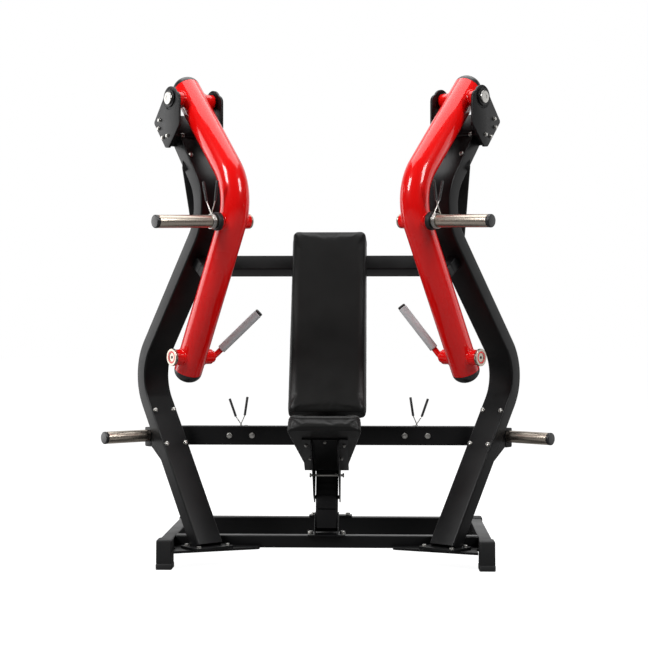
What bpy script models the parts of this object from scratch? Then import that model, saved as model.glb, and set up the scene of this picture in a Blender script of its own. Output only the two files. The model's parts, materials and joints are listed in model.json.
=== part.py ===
"""Plate-loaded chest press machine with two swinging arms.

Frame of the model: metres, +X to the sitter's left, +Y from the front to the
back, +Z up, the floor at Z = 0. Each side of the machine is drawn in its own
side frame: origin on the floor under the arm pivot, x outwards along the pivot
pin (times side: +1 right-hand column, -1 left-hand column), y backwards, z up.
"""

import math

import bmesh
import bpy
from mathutils import Matrix, Vector

GAP = 0.0003            # clearance between pieces that touch
WALL = 0.004            # steel tube wall

# Side frames
SIDE_TURN = math.radians(40)
PIVOT_X, PIVOT_Y, PIVOT_Z = 0.5437, -0.085, 1.875

# Swinging arms
ARM_R = 0.057
ARM_BEND = 0.200
ARM_VERTEX = (-0.344, 1.479)
SWIVEL_Z = 0.837
ARM_OVERHANG = 0.064
CAP_DOME = 0.046
PIVOT_HOUSING_R, PIVOT_HOUSING_HALF = 0.030, 0.096
PIN_R, BUSH_R = 0.015, 0.0205
PLATE_T = 0.010
PLATE_CORNERS = [(-0.067, 0.012), (-0.067, -0.112), (0.010, -0.197), (0.034, -0.195), (0.121, -0.088),
                 (0.012, 0.052)]        # (y, z) from the pivot
PLATE_RADII = [0.030, 0.020, 0.008, 0.010, 0.012, 0.020]
PLATE_CROWN_R, PIN_WASHER_R, PIN_WASHER_T, PIN_HEAD_R, PIN_HEAD_T = 0.048, 0.035, 0.005, 0.025, 0.007
SWIVEL_HOUSING_R, SWIVEL_HOUSING_HALF = 0.031, 0.0875
SWIVEL_R = 0.012

# Weight horns
HORN_R = 0.025
HORN_Y, HORN_Z, HORN_TIP = -0.285, 1.372, 0.356
HORN_FALL = 0.040       # drop of the horn's axis per metre outwards
HORN_SOCKET_R, HORN_SOCKET_IN, HORN_SOCKET_OUT = 0.0295, 0.074, 0.062
RING_X, RING_R, RING_T = 0.0625, 0.036, 0.020
STORAGE_HORN_END = 0.262
REAR_HORN_X, REAR_HORN_LENGTH = 0.369, 0.235
REAR_FLANGE_W, REAR_FLANGE_H, REAR_FLANGE_T = 0.136, 0.070, 0.008

# Spring collars
COLLAR_LENGTH, COLLAR_WALL, COLLAR_GAP = 0.022, 0.006, 0.003
LEG_R, LEG_GRIP_R, LEG_APART = 0.0026, 0.0055, 0.007
LEG_POINTS = [(0.026, 0.010), (0.079, 0.0185), (0.150, 0.037)]      # (height, spread) of root, knee and tip
REAR_COLLAR_LEAN = 0.094

# Handles
HANDLE_BEND_X = -0.1055
HANDLE_SPLAY = math.radians(59)
HANDLE_LEAN = {1: math.radians(23), -1: math.radians(36)}
GRIP_START, GRIP_END, GRIP_R = 0.042, 0.263, 0.0175
NECK_R = 0.012

# Main frames
FRAME_W, FRAME_D, FRAME_BEND = 0.120, 0.060, 0.200
FRAME_PATH = [(-0.108, 0.080), (0.348, 0.766), (-0.182, 1.435), (0.094, 1.800)]
FOOT_FLANGE, FOOT_FLANGE_Z = (0.170, 0.130, 0.010), 0.0805
HEAD_Y, HEAD_Z, HEAD_D, HEAD_L, HEAD_WALL = 0.060, 1.755, 0.072, 0.118, 0.008
STOP_Z, STOP_W, STOP_ROOT, STOP_END = 1.240, 0.050, 0.018, 0.0805
BUFFER_W, BUFFER_T = 0.054, 0.034
CROSSBAR_Y, CROSSBAR_END = 0.258, 0.052     # end of the middle crossbar, behind the frame, in the side frame
WEDGE_W, WEDGE_HALF, WEDGE_LIP = 0.100, 0.085, 0.008

# Base
BEAM = 0.050
SIDE_X, BASE_TOP = 0.638, 0.114
BASE_FRONT, BASE_REAR = -0.250, 0.546
FRONT_BEAM_Y, REAR_BEAM_Y, REAR_BEAM_H = -0.059, 0.515, 0.100
GUSSET_Z, GUSSET_T = 0.065, 0.010
SHOE_W, SHOE_L, SHOE_MID, SHOE_OVER = 0.064, 0.088, 0.038, 0.003

# Bench
SPINE_W, SPINE_D = 0.090, 0.060
EAR_CORNERS, EAR_T = [(-0.105, 0.118), (-0.013, 0.118), (0.012, 0.200), (-0.060, 0.200)], 0.004
SPINE_TOP, UPPER_BAR = (0.410, 1.221), 0.070
STRUT_X, STRUT_W, STRUT_HEAD = 0.545, 0.060, (-0.170, 1.630)
CROSS_H, CROSS_D, CROSS_Z, CROSS_MID_Y = 0.080, 0.045, 0.500, 0.180
BACK_FOOT, BACK_HEAD = (-0.053, 0.609), (0.359, 1.382)
BACK_W, BACK_T = 0.330, 0.067
SEAT_FRONT, SEAT_REAR = (-0.376, 0.5645), (-0.020, 0.3765)
SEAT_FRONT_W, SEAT_REAR_W, SEAT_T = 0.306, 0.174, 0.075
RACK_FOOT_U, RACK_PITCH, RACK_TEETH = 0.100, 0.026, 10
RACK_BASE, RACK_CREST = 0.006, 0.016
LATCH_TOOTH, LATCH_R, LATCH_TRAVEL = 5, 0.005, 0.010
BRACE_U, BRACE_W, BRACE_D = 0.66, 0.060, 0.040
RAIL_W, RAIL_T, RAIL_L, RAIL_MID = 0.060, 0.017, 0.700, 0.440


def rounded(points, radius, steps=6, closed=False):
    """Corner points joined by straight runs, each inner corner an arc of the given radius."""
    radii = radius if isinstance(radius, (list, tuple)) else [radius] * len(points)
    path, count = [], len(points)
    for i, here in enumerate(points):
        if not closed and i in (0, count - 1):
            path.append(Vector(here))
            continue
        here = Vector(here)
        to_last = (Vector(points[i - 1]) - here).normalized()
        to_next = (Vector(points[(i + 1) % count]) - here).normalized()
        half = to_last.angle(to_next) / 2
        centre = here + (to_last + to_next).normalized() * (radii[i] / math.sin(half))
        first = here + to_last * (radii[i] / math.tan(half)) - centre
        last = here + to_next * (radii[i] / math.tan(half)) - centre
        sweep = first.angle(last)
        for k in range(steps + 1):
            a = k / steps
            turned_to = first * math.sin((1 - a) * sweep) + last * math.sin(a * sweep)
            path.append(centre + turned_to / math.sin(sweep))
    return path


def material(name, colour, roughness, metallic=0.0):
    made = bpy.data.materials.new(name)
    made.use_nodes = True
    shader = made.node_tree.nodes["Principled BSDF"]
    shader.inputs["Base Color"].default_value = (*colour, 1.0)
    shader.inputs["Roughness"].default_value = roughness
    shader.inputs["Metallic"].default_value = metallic
    return made


def add(name, data, parent=None, finish=None, place=None):
    """A new object: a sub-part when it has a finish, a hidden tool body when it has none."""
    piece = bpy.data.objects.new(name, data)
    if finish:
        machine.objects.link(piece)
        data.materials.append(finish)
    else:
        cutters.objects.link(piece)
        piece.hide_render = True
        piece.display_type = "WIRE"
    if parent:
        piece.parent = parent
        piece.matrix_parent_inverse = Matrix.Translation(-Vector(parent["frame_offset"]))
    if place:
        piece.matrix_basis = place
    return piece


def joint_empty(name, point, side_frame=None):
    """An empty on a joint's axis; point is given in the side frame."""
    empty = bpy.data.objects.new(name, None)
    machine.objects.link(empty)
    empty.parent = side_frame
    empty.location = point
    empty["frame_offset"] = list(point)
    return empty


def box(name, size, centre, parent=None, finish=None, turn=0.0):
    """A block, turned about X by the given angle."""
    mesh = bpy.data.meshes.new(name)
    bm = bmesh.new()
    bmesh.ops.create_cube(bm, size=1.0)
    bmesh.ops.scale(bm, vec=size, verts=bm.verts)
    bm.to_mesh(mesh)
    bm.free()
    return add(name, mesh, parent, finish, Matrix.Translation(centre) @ Matrix.Rotation(turn, 4, "X"))


def rod(name, radius, start, end, parent=None, finish=None, sides=24):
    """A round bar between two points."""
    start, end = Vector(start), Vector(end)
    mesh = bpy.data.meshes.new(name)
    bm = bmesh.new()
    bmesh.ops.create_cone(bm, cap_ends=True, segments=sides, radius1=radius, radius2=radius,
                          depth=(end - start).length)
    bm.to_mesh(mesh)
    bm.free()
    mesh.shade_smooth()
    mesh.set_sharp_from_angle(angle=math.radians(40))
    turn = (end - start).to_track_quat("Z", "Y").to_matrix().to_4x4()
    return add(name, mesh, parent, finish, Matrix.Translation((start + end) / 2) @ turn)


def turned(name, profile, centre, axis, parent=None, finish=None, sides=24):
    """A solid of revolution; the profile lists (radius, height along the axis) from top to bottom."""
    mesh = bpy.data.meshes.new(name)
    bm = bmesh.new()
    points = [bm.verts.new((r, 0, h)) for r, h in profile]
    for a, b in zip(points, points[1:]):
        bm.edges.new((a, b))
    bm.to_mesh(mesh)
    bm.free()
    turn = Vector(axis).to_track_quat("Z", "Y").to_matrix().to_4x4()
    piece = add(name, mesh, parent, finish, Matrix.Translation(centre) @ turn)
    screw = piece.modifiers.new("Turn", "SCREW")
    screw.steps = screw.render_steps = sides
    screw.use_merge_vertices = True
    screw.merge_threshold = 0.0001
    screw.use_smooth_shade = True
    return piece


def curve_mesh(name, curve, place, parent, finish):
    """The curve's surface as a welded mesh on a new object."""
    source = bpy.data.objects.new(name, curve)
    cutters.objects.link(source)
    bpy.context.view_layer.update()
    mesh = bpy.data.meshes.new_from_object(source.evaluated_get(bpy.context.evaluated_depsgraph_get()))
    bpy.data.objects.remove(source)
    bm = bmesh.new()
    bm.from_mesh(mesh)
    bmesh.ops.remove_doubles(bm, verts=bm.verts, dist=0.00002)
    bmesh.ops.dissolve_degenerate(bm, edges=bm.edges, dist=0.00001)
    bmesh.ops.recalc_face_normals(bm, faces=bm.faces)
    bm.to_mesh(mesh)
    bm.free()
    mesh.set_sharp_from_angle(angle=math.radians(35))
    mesh.name = name
    return add(name, mesh, parent, finish, place)


def spline(curve, points, cyclic=False):
    line = curve.splines.new("POLY")
    line.points.add(len(points) - 1)
    for target, point in zip(line.points, points):
        target.co = (*point, *([0.0] * (3 - len(point))), 1.0)
    line.use_cyclic_u = cyclic


SIDE_PLANE = Matrix(((0, 0, 1, 0), (1, 0, 0, 0), (0, 1, 0, 0), (0, 0, 0, 1)))


def plate(name, outline, thickness, offset=0.0, parent=None, finish=None, plane=SIDE_PLANE):
    """A flat outline, drawn in (y, z) by default, with its middle at the offset along x."""
    curve = bpy.data.curves.new(name, "CURVE")
    curve.dimensions = "2D"
    curve.fill_mode = "BOTH"
    curve.extrude = thickness / 2
    spline(curve, outline, cyclic=True)
    return curve_mesh(name, curve, plane @ Matrix.Translation((0, 0, offset)), parent, finish)


def square_tube(name, path, across, deep, corner=0.008, parent=None, finish=None, plane=SIDE_PLANE):
    """A rectangular bar swept along a flat path: across is square to the path's plane."""
    section = bpy.data.curves.new(name + "_section", "CURVE")
    section.dimensions = "2D"
    a, b = deep / 2, across / 2
    spline(section, rounded([(a, b), (-a, b), (-a, -b), (a, -b)], corner, steps=2, closed=True), cyclic=True)
    profile = add(name + "_section", section)
    curve = bpy.data.curves.new(name, "CURVE")
    curve.dimensions = "2D"
    curve.bevel_mode = "OBJECT"
    curve.bevel_object = profile
    curve.use_fill_caps = True
    spline(curve, path)
    piece = curve_mesh(name, curve, plane, parent, finish)
    bpy.data.objects.remove(profile)
    return piece


def round_tube(name, path, radius, parent=None, finish=None, resolution=6, plane=Matrix()):
    """A round bar swept along a path."""
    curve = bpy.data.curves.new(name, "CURVE")
    curve.dimensions = "3D"
    curve.bevel_depth = radius
    curve.bevel_resolution = resolution
    curve.use_fill_caps = True
    spline(curve, path)
    return curve_mesh(name, curve, plane, parent, finish)


def boolean(piece, operation, *tools):
    for tool in tools:
        step = piece.modifiers.new(tool.name, "BOOLEAN")
        step.operation = operation
        step.solver = "EXACT"
        step.object = tool


def soften(piece, width, segments=1):
    bevel = piece.modifiers.new("Edges", "BEVEL")
    bevel.width = width
    bevel.segments = segments
    bevel.limit_method = "ANGLE"
    bevel.angle_limit = math.radians(50)


def along(start, end, distance):
    """The point at a distance from start towards end."""
    start, end = Vector(start), Vector(end)
    return start + (end - start).normalized() * distance


# ---------------------------------------------------------------- side frames

def arm_path():
    """Axis of the arm tube in (y, z), from its top end to its bottom end."""
    pivot, vertex, swivel = (0, PIVOT_Z), ARM_VERTEX, (0, SWIVEL_Z)
    top = along(vertex, pivot, (Vector(pivot) - Vector(vertex)).length + ARM_OVERHANG)
    bottom = along(vertex, swivel, (Vector(swivel) - Vector(vertex)).length + ARM_OVERHANG)
    return rounded([top, vertex, bottom], ARM_BEND, steps=6)


def main_frame(side, hand, frame):
    """S-bent rectangular tube with its foot flange, head block and arm stop, all welded."""
    path = rounded(FRAME_PATH, FRAME_BEND)
    post = square_tube("side_frame_" + hand, path, FRAME_W, FRAME_D, parent=frame, finish=black)
    foot = box("foot_flange_" + hand, FOOT_FLANGE, (0, FRAME_PATH[0][0], FOOT_FLANGE_Z), frame)
    lean = -math.atan2(FRAME_PATH[3][0] - FRAME_PATH[2][0], FRAME_PATH[3][1] - FRAME_PATH[2][1])
    head = box("head_block_" + hand, (2 * PIVOT_HOUSING_HALF + 0.0012, HEAD_D, HEAD_L), (0, HEAD_Y, HEAD_Z),
               frame, turn=lean)
    slope = (Vector(FRAME_PATH[2]) - Vector(FRAME_PATH[1])).normalized()
    forward = Vector((-slope.y, slope.x))
    root = Vector(FRAME_PATH[1]) + slope * ((STOP_Z - FRAME_PATH[1][1]) / slope.y)
    stop_turn = -math.atan2(forward.x, forward.y)
    stop_mid = root + forward * ((STOP_ROOT + STOP_END) / 2)
    stop = box("stop_arm_" + hand, (STOP_W, STOP_W, STOP_END - STOP_ROOT), (0, *stop_mid), frame,
               turn=stop_turn)
    inner_path = rounded([along(FRAME_PATH[0], FRAME_PATH[1], -0.06)] + FRAME_PATH[1:3]
                         + [along(FRAME_PATH[3], FRAME_PATH[2], 0.020)], FRAME_BEND)
    hollow = square_tube("frame_hollow_" + hand, inner_path, FRAME_W - 2 * WALL, FRAME_D - 2 * WALL,
                         corner=0.004, parent=frame)
    head_hollow = box("head_hollow_" + hand, (0.3, HEAD_D - 2 * HEAD_WALL, HEAD_L - 2 * HEAD_WALL),
                      (0, HEAD_Y, HEAD_Z), frame, turn=lean)
    under = box("floor_cut_" + hand, (0.3, 0.3, 0.1),
                (0, FRAME_PATH[0][0], GUSSET_Z + GUSSET_T + GAP - 0.05), frame)
    beam_space = box("beam_space_" + hand, (1.4, BEAM + 2 * GAP, BEAM + 2 * GAP),
                     (0, FRONT_BEAM_Y, BASE_TOP - BEAM / 2))
    boolean(post, "UNION", foot, head, stop)
    boolean(post, "DIFFERENCE", hollow, head_hollow, under, beam_space)

    buffer_mid = root + forward * (STOP_END + GAP + BUFFER_T / 2)
    buffer = box("stop_buffer_" + hand, (BUFFER_W, BUFFER_W, BUFFER_T), (0, *buffer_mid), frame, rubber,
                 turn=stop_turn)
    arm_space = round_tube("arm_space_" + hand, arm_path(), ARM_R + 0.0006, frame, plane=SIDE_PLANE)
    boolean(buffer, "DIFFERENCE", arm_space)


def pivot_group(side, hand, frame):
    """Two bearing plates bolted to the head block, with the pin through them."""
    outline = rounded([(y, PIVOT_Z + z) for y, z in PLATE_CORNERS], PLATE_RADII, steps=3, closed=True)
    face = PIVOT_HOUSING_HALF + 0.0009 + PLATE_T
    for place, sign in (("outer", 1), ("inner", -1)):
        x = side * sign
        ear = plate(f"pivot_plate_{place}_{hand}", outline, PLATE_T, x * (face - PLATE_T / 2), frame, black)
        crown = rod(f"pivot_crown_{place}_{hand}", PLATE_CROWN_R, (x * (face - PLATE_T), 0, PIVOT_Z),
                    (x * face, 0, PIVOT_Z), frame)
        ring = rod(f"pivot_ring_{place}_{hand}", PIN_WASHER_R, (x * (face - 0.002), 0, PIVOT_Z),
                   (x * (face + PIN_WASHER_T), 0, PIVOT_Z), frame)
        bore = rod(f"pivot_bore_{place}_{hand}", PIN_R + GAP, (x * 0.05, 0, PIVOT_Z), (x * 0.15, 0, PIVOT_Z),
                   frame)
        boolean(ear, "UNION", crown, ring)
        boolean(ear, "DIFFERENCE", bore)
    end = face + PIN_WASHER_T + GAP
    pin = rod("pivot_pin_" + hand, PIN_R, (-end - 0.002, 0, PIVOT_Z), (end + 0.002, 0, PIVOT_Z), frame, steel)
    top = end + PIN_HEAD_T
    heads = [rod(f"pin_head_{k}_{hand}", PIN_HEAD_R, (k * end, 0, PIVOT_Z), (k * top, 0, PIVOT_Z), frame)
             for k in (-1, 1)]
    boolean(pin, "UNION", *heads)


def arm_group(side, hand, joint):
    """Round bent arm with its cross housings, the end caps and the pivot bush."""
    path = arm_path()
    arm = round_tube("arm_" + hand, path, ARM_R, joint, red, plane=SIDE_PLANE)
    long_path = [along(path[0], path[1], -0.05)] + path[1:-1] + [along(path[-1], path[-2], -0.05)]
    hollow = round_tube("arm_hollow_" + hand, long_path, ARM_R - WALL, joint, plane=SIDE_PLANE)
    boolean(arm, "DIFFERENCE", hollow)
    pivot, swivel = (0, PIVOT_Z), (0, SWIVEL_Z)
    crossings = (("pivot", PIVOT_HOUSING_R, BUSH_R, (side * -PIVOT_HOUSING_HALF, *pivot),
                  (side * PIVOT_HOUSING_HALF, *pivot)),
                 ("swivel", SWIVEL_HOUSING_R, SWIVEL_R, (side * -SWIVEL_HOUSING_HALF, *swivel),
                  (side * SWIVEL_HOUSING_HALF, *swivel)),
                 ("horn", HORN_SOCKET_R, HORN_R, horn_point(side, -HORN_SOCKET_IN),
                  horn_point(side, HORN_SOCKET_OUT)))
    for use, radius, bore, inner, outer in crossings:
        boolean(arm, "UNION", rod(f"{use}_housing_{hand}", radius, inner, outer, joint))
    for use, radius, bore, inner, outer in crossings:
        reach = (Vector(outer) - Vector(inner)) * 0.5
        hole = rod(f"{use}_housing_bore_{hand}", bore + GAP, Vector(inner) - reach, Vector(outer) + reach,
                   joint)
        boolean(arm, "DIFFERENCE", hole)
    turned("pivot_bush_" + hand, [(BUSH_R, 0.095), (BUSH_R, -0.095), (PIN_R + GAP, -0.095),
           (PIN_R + GAP, 0.095), (BUSH_R, 0.095)], (0, 0, PIVOT_Z), (1, 0, 0), joint, bronze)

    dome = [(ARM_R * math.sin(a), CAP_DOME * math.cos(a)) for a in (math.radians(18 * k) for k in range(6))]
    plug_r = ARM_R - WALL - 0.0015
    profile = dome[:-1] + [(ARM_R, 0.0), (plug_r, 0.0), (plug_r, -0.012), (0.0, -0.012)]
    for place, end, inner in (("top", path[0], path[1]), ("bottom", path[-1], path[-2])):
        out = (end - inner).normalized()
        turned(f"arm_{place}_cap_{hand}", profile, (0, *(end + out * GAP)), (0, *out), joint, plastic)


def horn_point(side, x):
    """A point on the weight horn's axis, a distance outwards from the arm's middle plane."""
    return (side * x, HORN_Y, HORN_Z - HORN_FALL * x)


def horn_group(side, hand, joint, slider):
    """Plate-loading horn through the arm, its rubber ring and its spring collar."""
    cap_in, cap_out = -0.083, -HORN_SOCKET_IN - GAP
    root, tip = horn_point(side, -0.0795), horn_point(side, HORN_TIP)
    horn = rod("weight_horn_" + hand, HORN_R, root, tip, joint, chrome)
    soften(horn, 0.003)
    cap = rod("horn_inner_cap_" + hand, 0.029, horn_point(side, cap_out), horn_point(side, cap_in), joint)
    bore = rod("horn_bore_" + hand, HORN_R - WALL, horn_point(side, -0.066), horn_point(side, 0.5), joint)
    boolean(horn, "UNION", cap)
    boolean(horn, "DIFFERENCE", bore)
    near, far = horn_point(side, RING_X), horn_point(side, RING_X + RING_T)
    ring = rod("horn_ring_" + hand, RING_R, near, far, joint, rubber)
    boolean(ring, "DIFFERENCE", rod("horn_ring_bore_" + hand, HORN_R + GAP, horn_point(side, 0.03),
                                    horn_point(side, 0.15), joint))
    foot = horn_point(side, RING_X + RING_T + COLLAR_GAP)
    collar("weight_collar_" + hand, foot, (side, 0, -HORN_FALL), (0, 0, 1), slider)


def collar(name, foot, axis, up, slider):
    """Spring collar: the turns as one ring round the horn, and two legs that splay across it with grips."""
    foot, axis = Vector(foot), Vector(axis).normalized()
    across = axis.cross(Vector(up)).normalized()
    up = across.cross(axis)
    outer, inner = HORN_R + COLLAR_WALL, HORN_R + 0.0008
    profile = [(outer, COLLAR_LENGTH), (outer, 0), (inner, 0), (inner, COLLAR_LENGTH), (outer, COLLAR_LENGTH)]
    coil = turned(name, profile, foot, axis, slider, steel, sides=24)
    for k in (-1, 1):
        middle = foot + axis * (COLLAR_LENGTH / 2 + LEG_APART * k)
        root, knee, tip = (middle + up * height + across * (k * spread) for height, spread in LEG_POINTS)
        leg = rod(f"{name}_leg_{k}", LEG_R, root, knee + (knee - root) * 0.02, slider, sides=10)
        grip = rod(f"{name}_grip_{k}", LEG_GRIP_R, knee, tip, slider, sides=12)
        boolean(coil, "UNION", leg, grip)


def handle_group(side, hand, joint):
    """Swivelling handle: shaft through the housing, bent neck and grip."""
    lean = HANDLE_LEAN[side]
    grip_dir = Vector((-side * math.cos(HANDLE_SPLAY), -math.sin(HANDLE_SPLAY) * math.sin(lean),
                       math.sin(HANDLE_SPLAY) * math.cos(lean)))
    vertex = Vector((side * HANDLE_BEND_X, 0, SWIVEL_Z))
    outer = SWIVEL_HOUSING_HALF + GAP
    neck_end = vertex + grip_dir * (GRIP_START + 0.20)
    neck_path = rounded([Vector((side * outer, 0, SWIVEL_Z)), vertex, neck_end], 0.022, steps=6)
    handle = round_tube("handle_" + hand, neck_path, NECK_R - GAP, joint, red, resolution=4)
    knuckle = rod("handle_knuckle_" + hand, 0.027, (-side * outer, 0, SWIVEL_Z),
                  (-side * (outer + 0.020), 0, SWIVEL_Z), joint)
    boolean(handle, "UNION", knuckle)
    disc = rod("swivel_disc_" + hand, 0.035, (side * (outer + GAP), 0, SWIVEL_Z),
               (side * (outer + 0.013), 0, SWIVEL_Z), joint, chrome)
    soften(disc, 0.002)
    start, end = vertex + grip_dir * GRIP_START, vertex + grip_dir * GRIP_END
    grip = rod("grip_" + hand, GRIP_R, start, end, joint, foam)
    soften(grip, 0.003)
    boolean(grip, "DIFFERENCE", rod("grip_bore_" + hand, NECK_R, start - grip_dir * 0.02,
                                    vertex + grip_dir * (GRIP_START + 0.2005), joint))


# ---------------------------------------------------------------- storage and bars

def side_point(side, x, y):
    """Plan position of a point given in the side frame."""
    turn = Matrix.Rotation(-side * SIDE_TURN, 2)
    return Vector((side * PIVOT_X, PIVOT_Y)) + turn @ Vector((side * x, y))


def middle_crossbar():
    """Bent flat bar between the frames, with wedge brackets and the horn sockets in its ends."""
    start = side_point(1, CROSSBAR_END, CROSSBAR_Y)
    inner = side_point(1, 0.0, CROSSBAR_Y)
    run = (inner - start).normalized()
    vertex = start + run * ((CROSS_MID_Y - start.y) / run.y)
    ends = [start, vertex, Vector((-vertex.x, vertex.y)), Vector((-start.x, start.y))]
    path = rounded(ends, 0.150, steps=6)
    level = Matrix.Translation((0, 0, CROSS_Z))
    bar = square_tube("middle_crossbar", path, CROSS_H, CROSS_D, corner=0.006, finish=black, plane=level)
    longer = [along(path[0], path[1], -0.05)] + path[1:-1] + [along(path[-1], path[-2], -0.05)]
    hollow = square_tube("crossbar_hollow", longer, CROSS_H - 2 * WALL, CROSS_D - 2 * WALL, corner=0.003,
                         plane=level)
    boolean(bar, "DIFFERENCE", hollow)
    slope = (Vector(FRAME_PATH[1]) - Vector(FRAME_PATH[0])).normalized()
    back = Vector((slope.y, -slope.x))
    on_axis = Vector(FRAME_PATH[0]) + slope * ((CROSS_Z - FRAME_PATH[0][1]) / slope.y)
    on_back = on_axis + back * (FRAME_D / 2 + GAP)
    low, high = on_back - slope * WEDGE_HALF, on_back + slope * WEDGE_HALF
    front_of_bar = CROSSBAR_Y - CROSS_D / 2 + 0.002
    wedge = [low, high, high + back * WEDGE_LIP, (front_of_bar, CROSS_Z + CROSS_H / 2 - 0.004),
             (front_of_bar, CROSS_Z - CROSS_H / 2 + 0.004), low + back * WEDGE_LIP]
    for side, hand, frame in sides:
        bracket = plate("crossbar_bracket_" + hand, wedge, WEDGE_W, 0.0, frame)
        boolean(bar, "UNION", bracket)


def storage_horns():
    """Side horns behind the frames, and rear horns on the crossbar with their collars."""
    for side, hand, frame in sides:
        def at(x, y=CROSSBAR_Y):
            return (side * x, y, CROSS_Z + 0.005)
        start, end = at(CROSSBAR_END + GAP), at(STORAGE_HORN_END)
        horn = rod("side_storage_horn_" + hand, HORN_R, start, end, frame, chrome)
        soften(horn, 0.003)
        plug = box("side_horn_plug_" + hand, (0.040, CROSS_D - 2 * WALL - 0.002, CROSS_H - 2 * WALL - 0.002),
                   (side * (CROSSBAR_END - 0.015), CROSSBAR_Y, CROSS_Z), frame)
        boolean(horn, "UNION", plug)
        bore = rod("side_horn_bore_" + hand, HORN_R - WALL, at(CROSSBAR_END + 0.020), at(0.5), frame)
        boolean(horn, "DIFFERENCE", bore)

        face = CROSS_MID_Y + CROSS_D / 2 + GAP
        x = side * REAR_HORN_X
        tip = face + REAR_HORN_LENGTH
        rear = rod("rear_storage_horn_" + hand, HORN_R, (x, face + 0.004, CROSS_Z), (x, tip, CROSS_Z),
                   finish=chrome)
        soften(rear, 0.003)
        flange = box("rear_horn_flange_" + hand, (REAR_FLANGE_W, REAR_FLANGE_T, REAR_FLANGE_H),
                     (x, face + REAR_FLANGE_T / 2, CROSS_Z))
        boolean(rear, "UNION", flange)
        boolean(rear, "DIFFERENCE", rod("rear_horn_bore_" + hand, HORN_R - WALL, (x, face + 0.012, CROSS_Z),
                                        (x, tip + 0.05, CROSS_Z)))
        foot = Vector((x, face + 0.012, CROSS_Z))
        slider = joint_empty("rear_collar_slide_" + hand, foot)
        collar("rear_collar_" + hand, foot, (0, 1, 0), (side * REAR_COLLAR_LEAN, 0, 1), slider)


BACK_DIR = (Vector(BACK_HEAD) - Vector(BACK_FOOT)).normalized()
BACK_NORMAL = Vector((BACK_DIR.y, -BACK_DIR.x))
BACK_TURN = -math.atan2(BACK_DIR.x, BACK_DIR.y)
SPINE_FOOT = Vector((FRONT_BEAM_Y, BASE_TOP))
SPINE_DIR = (Vector(SPINE_TOP) - SPINE_FOOT).normalized()
SPINE_NORMAL = Vector((-SPINE_DIR.y, SPINE_DIR.x))
SPINE_TURN = -math.atan2(SPINE_DIR.x, SPINE_DIR.y)


def spine_point(u, v):
    """(y, z) of a point u up the spine and v in front of its axis."""
    return SPINE_FOOT + SPINE_DIR * u + SPINE_NORMAL * v


def upper_bars():
    """Upper crossbar, and a strut from each end of it to the main frames."""
    centre = Vector((0, *SPINE_TOP))
    bar = box("upper_crossbar", (1.150, UPPER_BAR, UPPER_BAR), centre, None, black, BACK_TURN)
    soften(bar, 0.006)
    inner = UPPER_BAR - 2 * WALL
    hollow = box("upper_crossbar_hollow", (1.3, inner, inner), centre, turn=BACK_TURN)
    boolean(bar, "DIFFERENCE", hollow)
    seat = Vector((0, *(Vector(SPINE_TOP) - BACK_NORMAL * (UPPER_BAR / 2 + GAP))))
    for side, hand, frame in sides:
        x = side * STRUT_X
        low, high = Vector((x, *SPINE_TOP)), Vector((x, *STRUT_HEAD))
        turn = -math.atan2((high - low).y, (high - low).z)
        middle, length = (low + high) / 2, (high - low).length
        strut = box("rear_strut_" + hand, (STRUT_W, STRUT_W, length), middle, None, black, turn)
        soften(strut, 0.006)
        inner = STRUT_W - 2 * WALL
        inside = box("strut_hollow_" + hand, (inner, inner, length + 0.1), middle, turn=turn)
        bar_mid = seat.yz + BACK_NORMAL * 0.15
        bar_side = box("strut_low_cut_" + hand, (0.3, 0.3, 0.3), (x, *bar_mid), turn=BACK_TURN)
        upward = (Vector(FRAME_PATH[3]) - Vector(FRAME_PATH[2])).normalized()
        rear = Vector((upward.y, -upward.x))
        level = Vector(FRAME_PATH[2]) + upward * ((1.574 - FRAME_PATH[2][1]) / upward.y)
        cut_mid = level + rear * (FRAME_D / 2 + GAP - 0.20)
        frame_side = box("strut_high_cut_" + hand, (0.6, 0.4, 0.6), (0, *cut_mid), frame,
                         turn=-math.atan2(upward.x, upward.y))
        frame_shape = square_tube("strut_knee_cut_" + hand, rounded(FRAME_PATH, FRAME_BEND), 0.400,
                                  FRAME_D + 2 * GAP, parent=frame)
        boolean(strut, "DIFFERENCE", inside, bar_side, frame_side, frame_shape)


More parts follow.
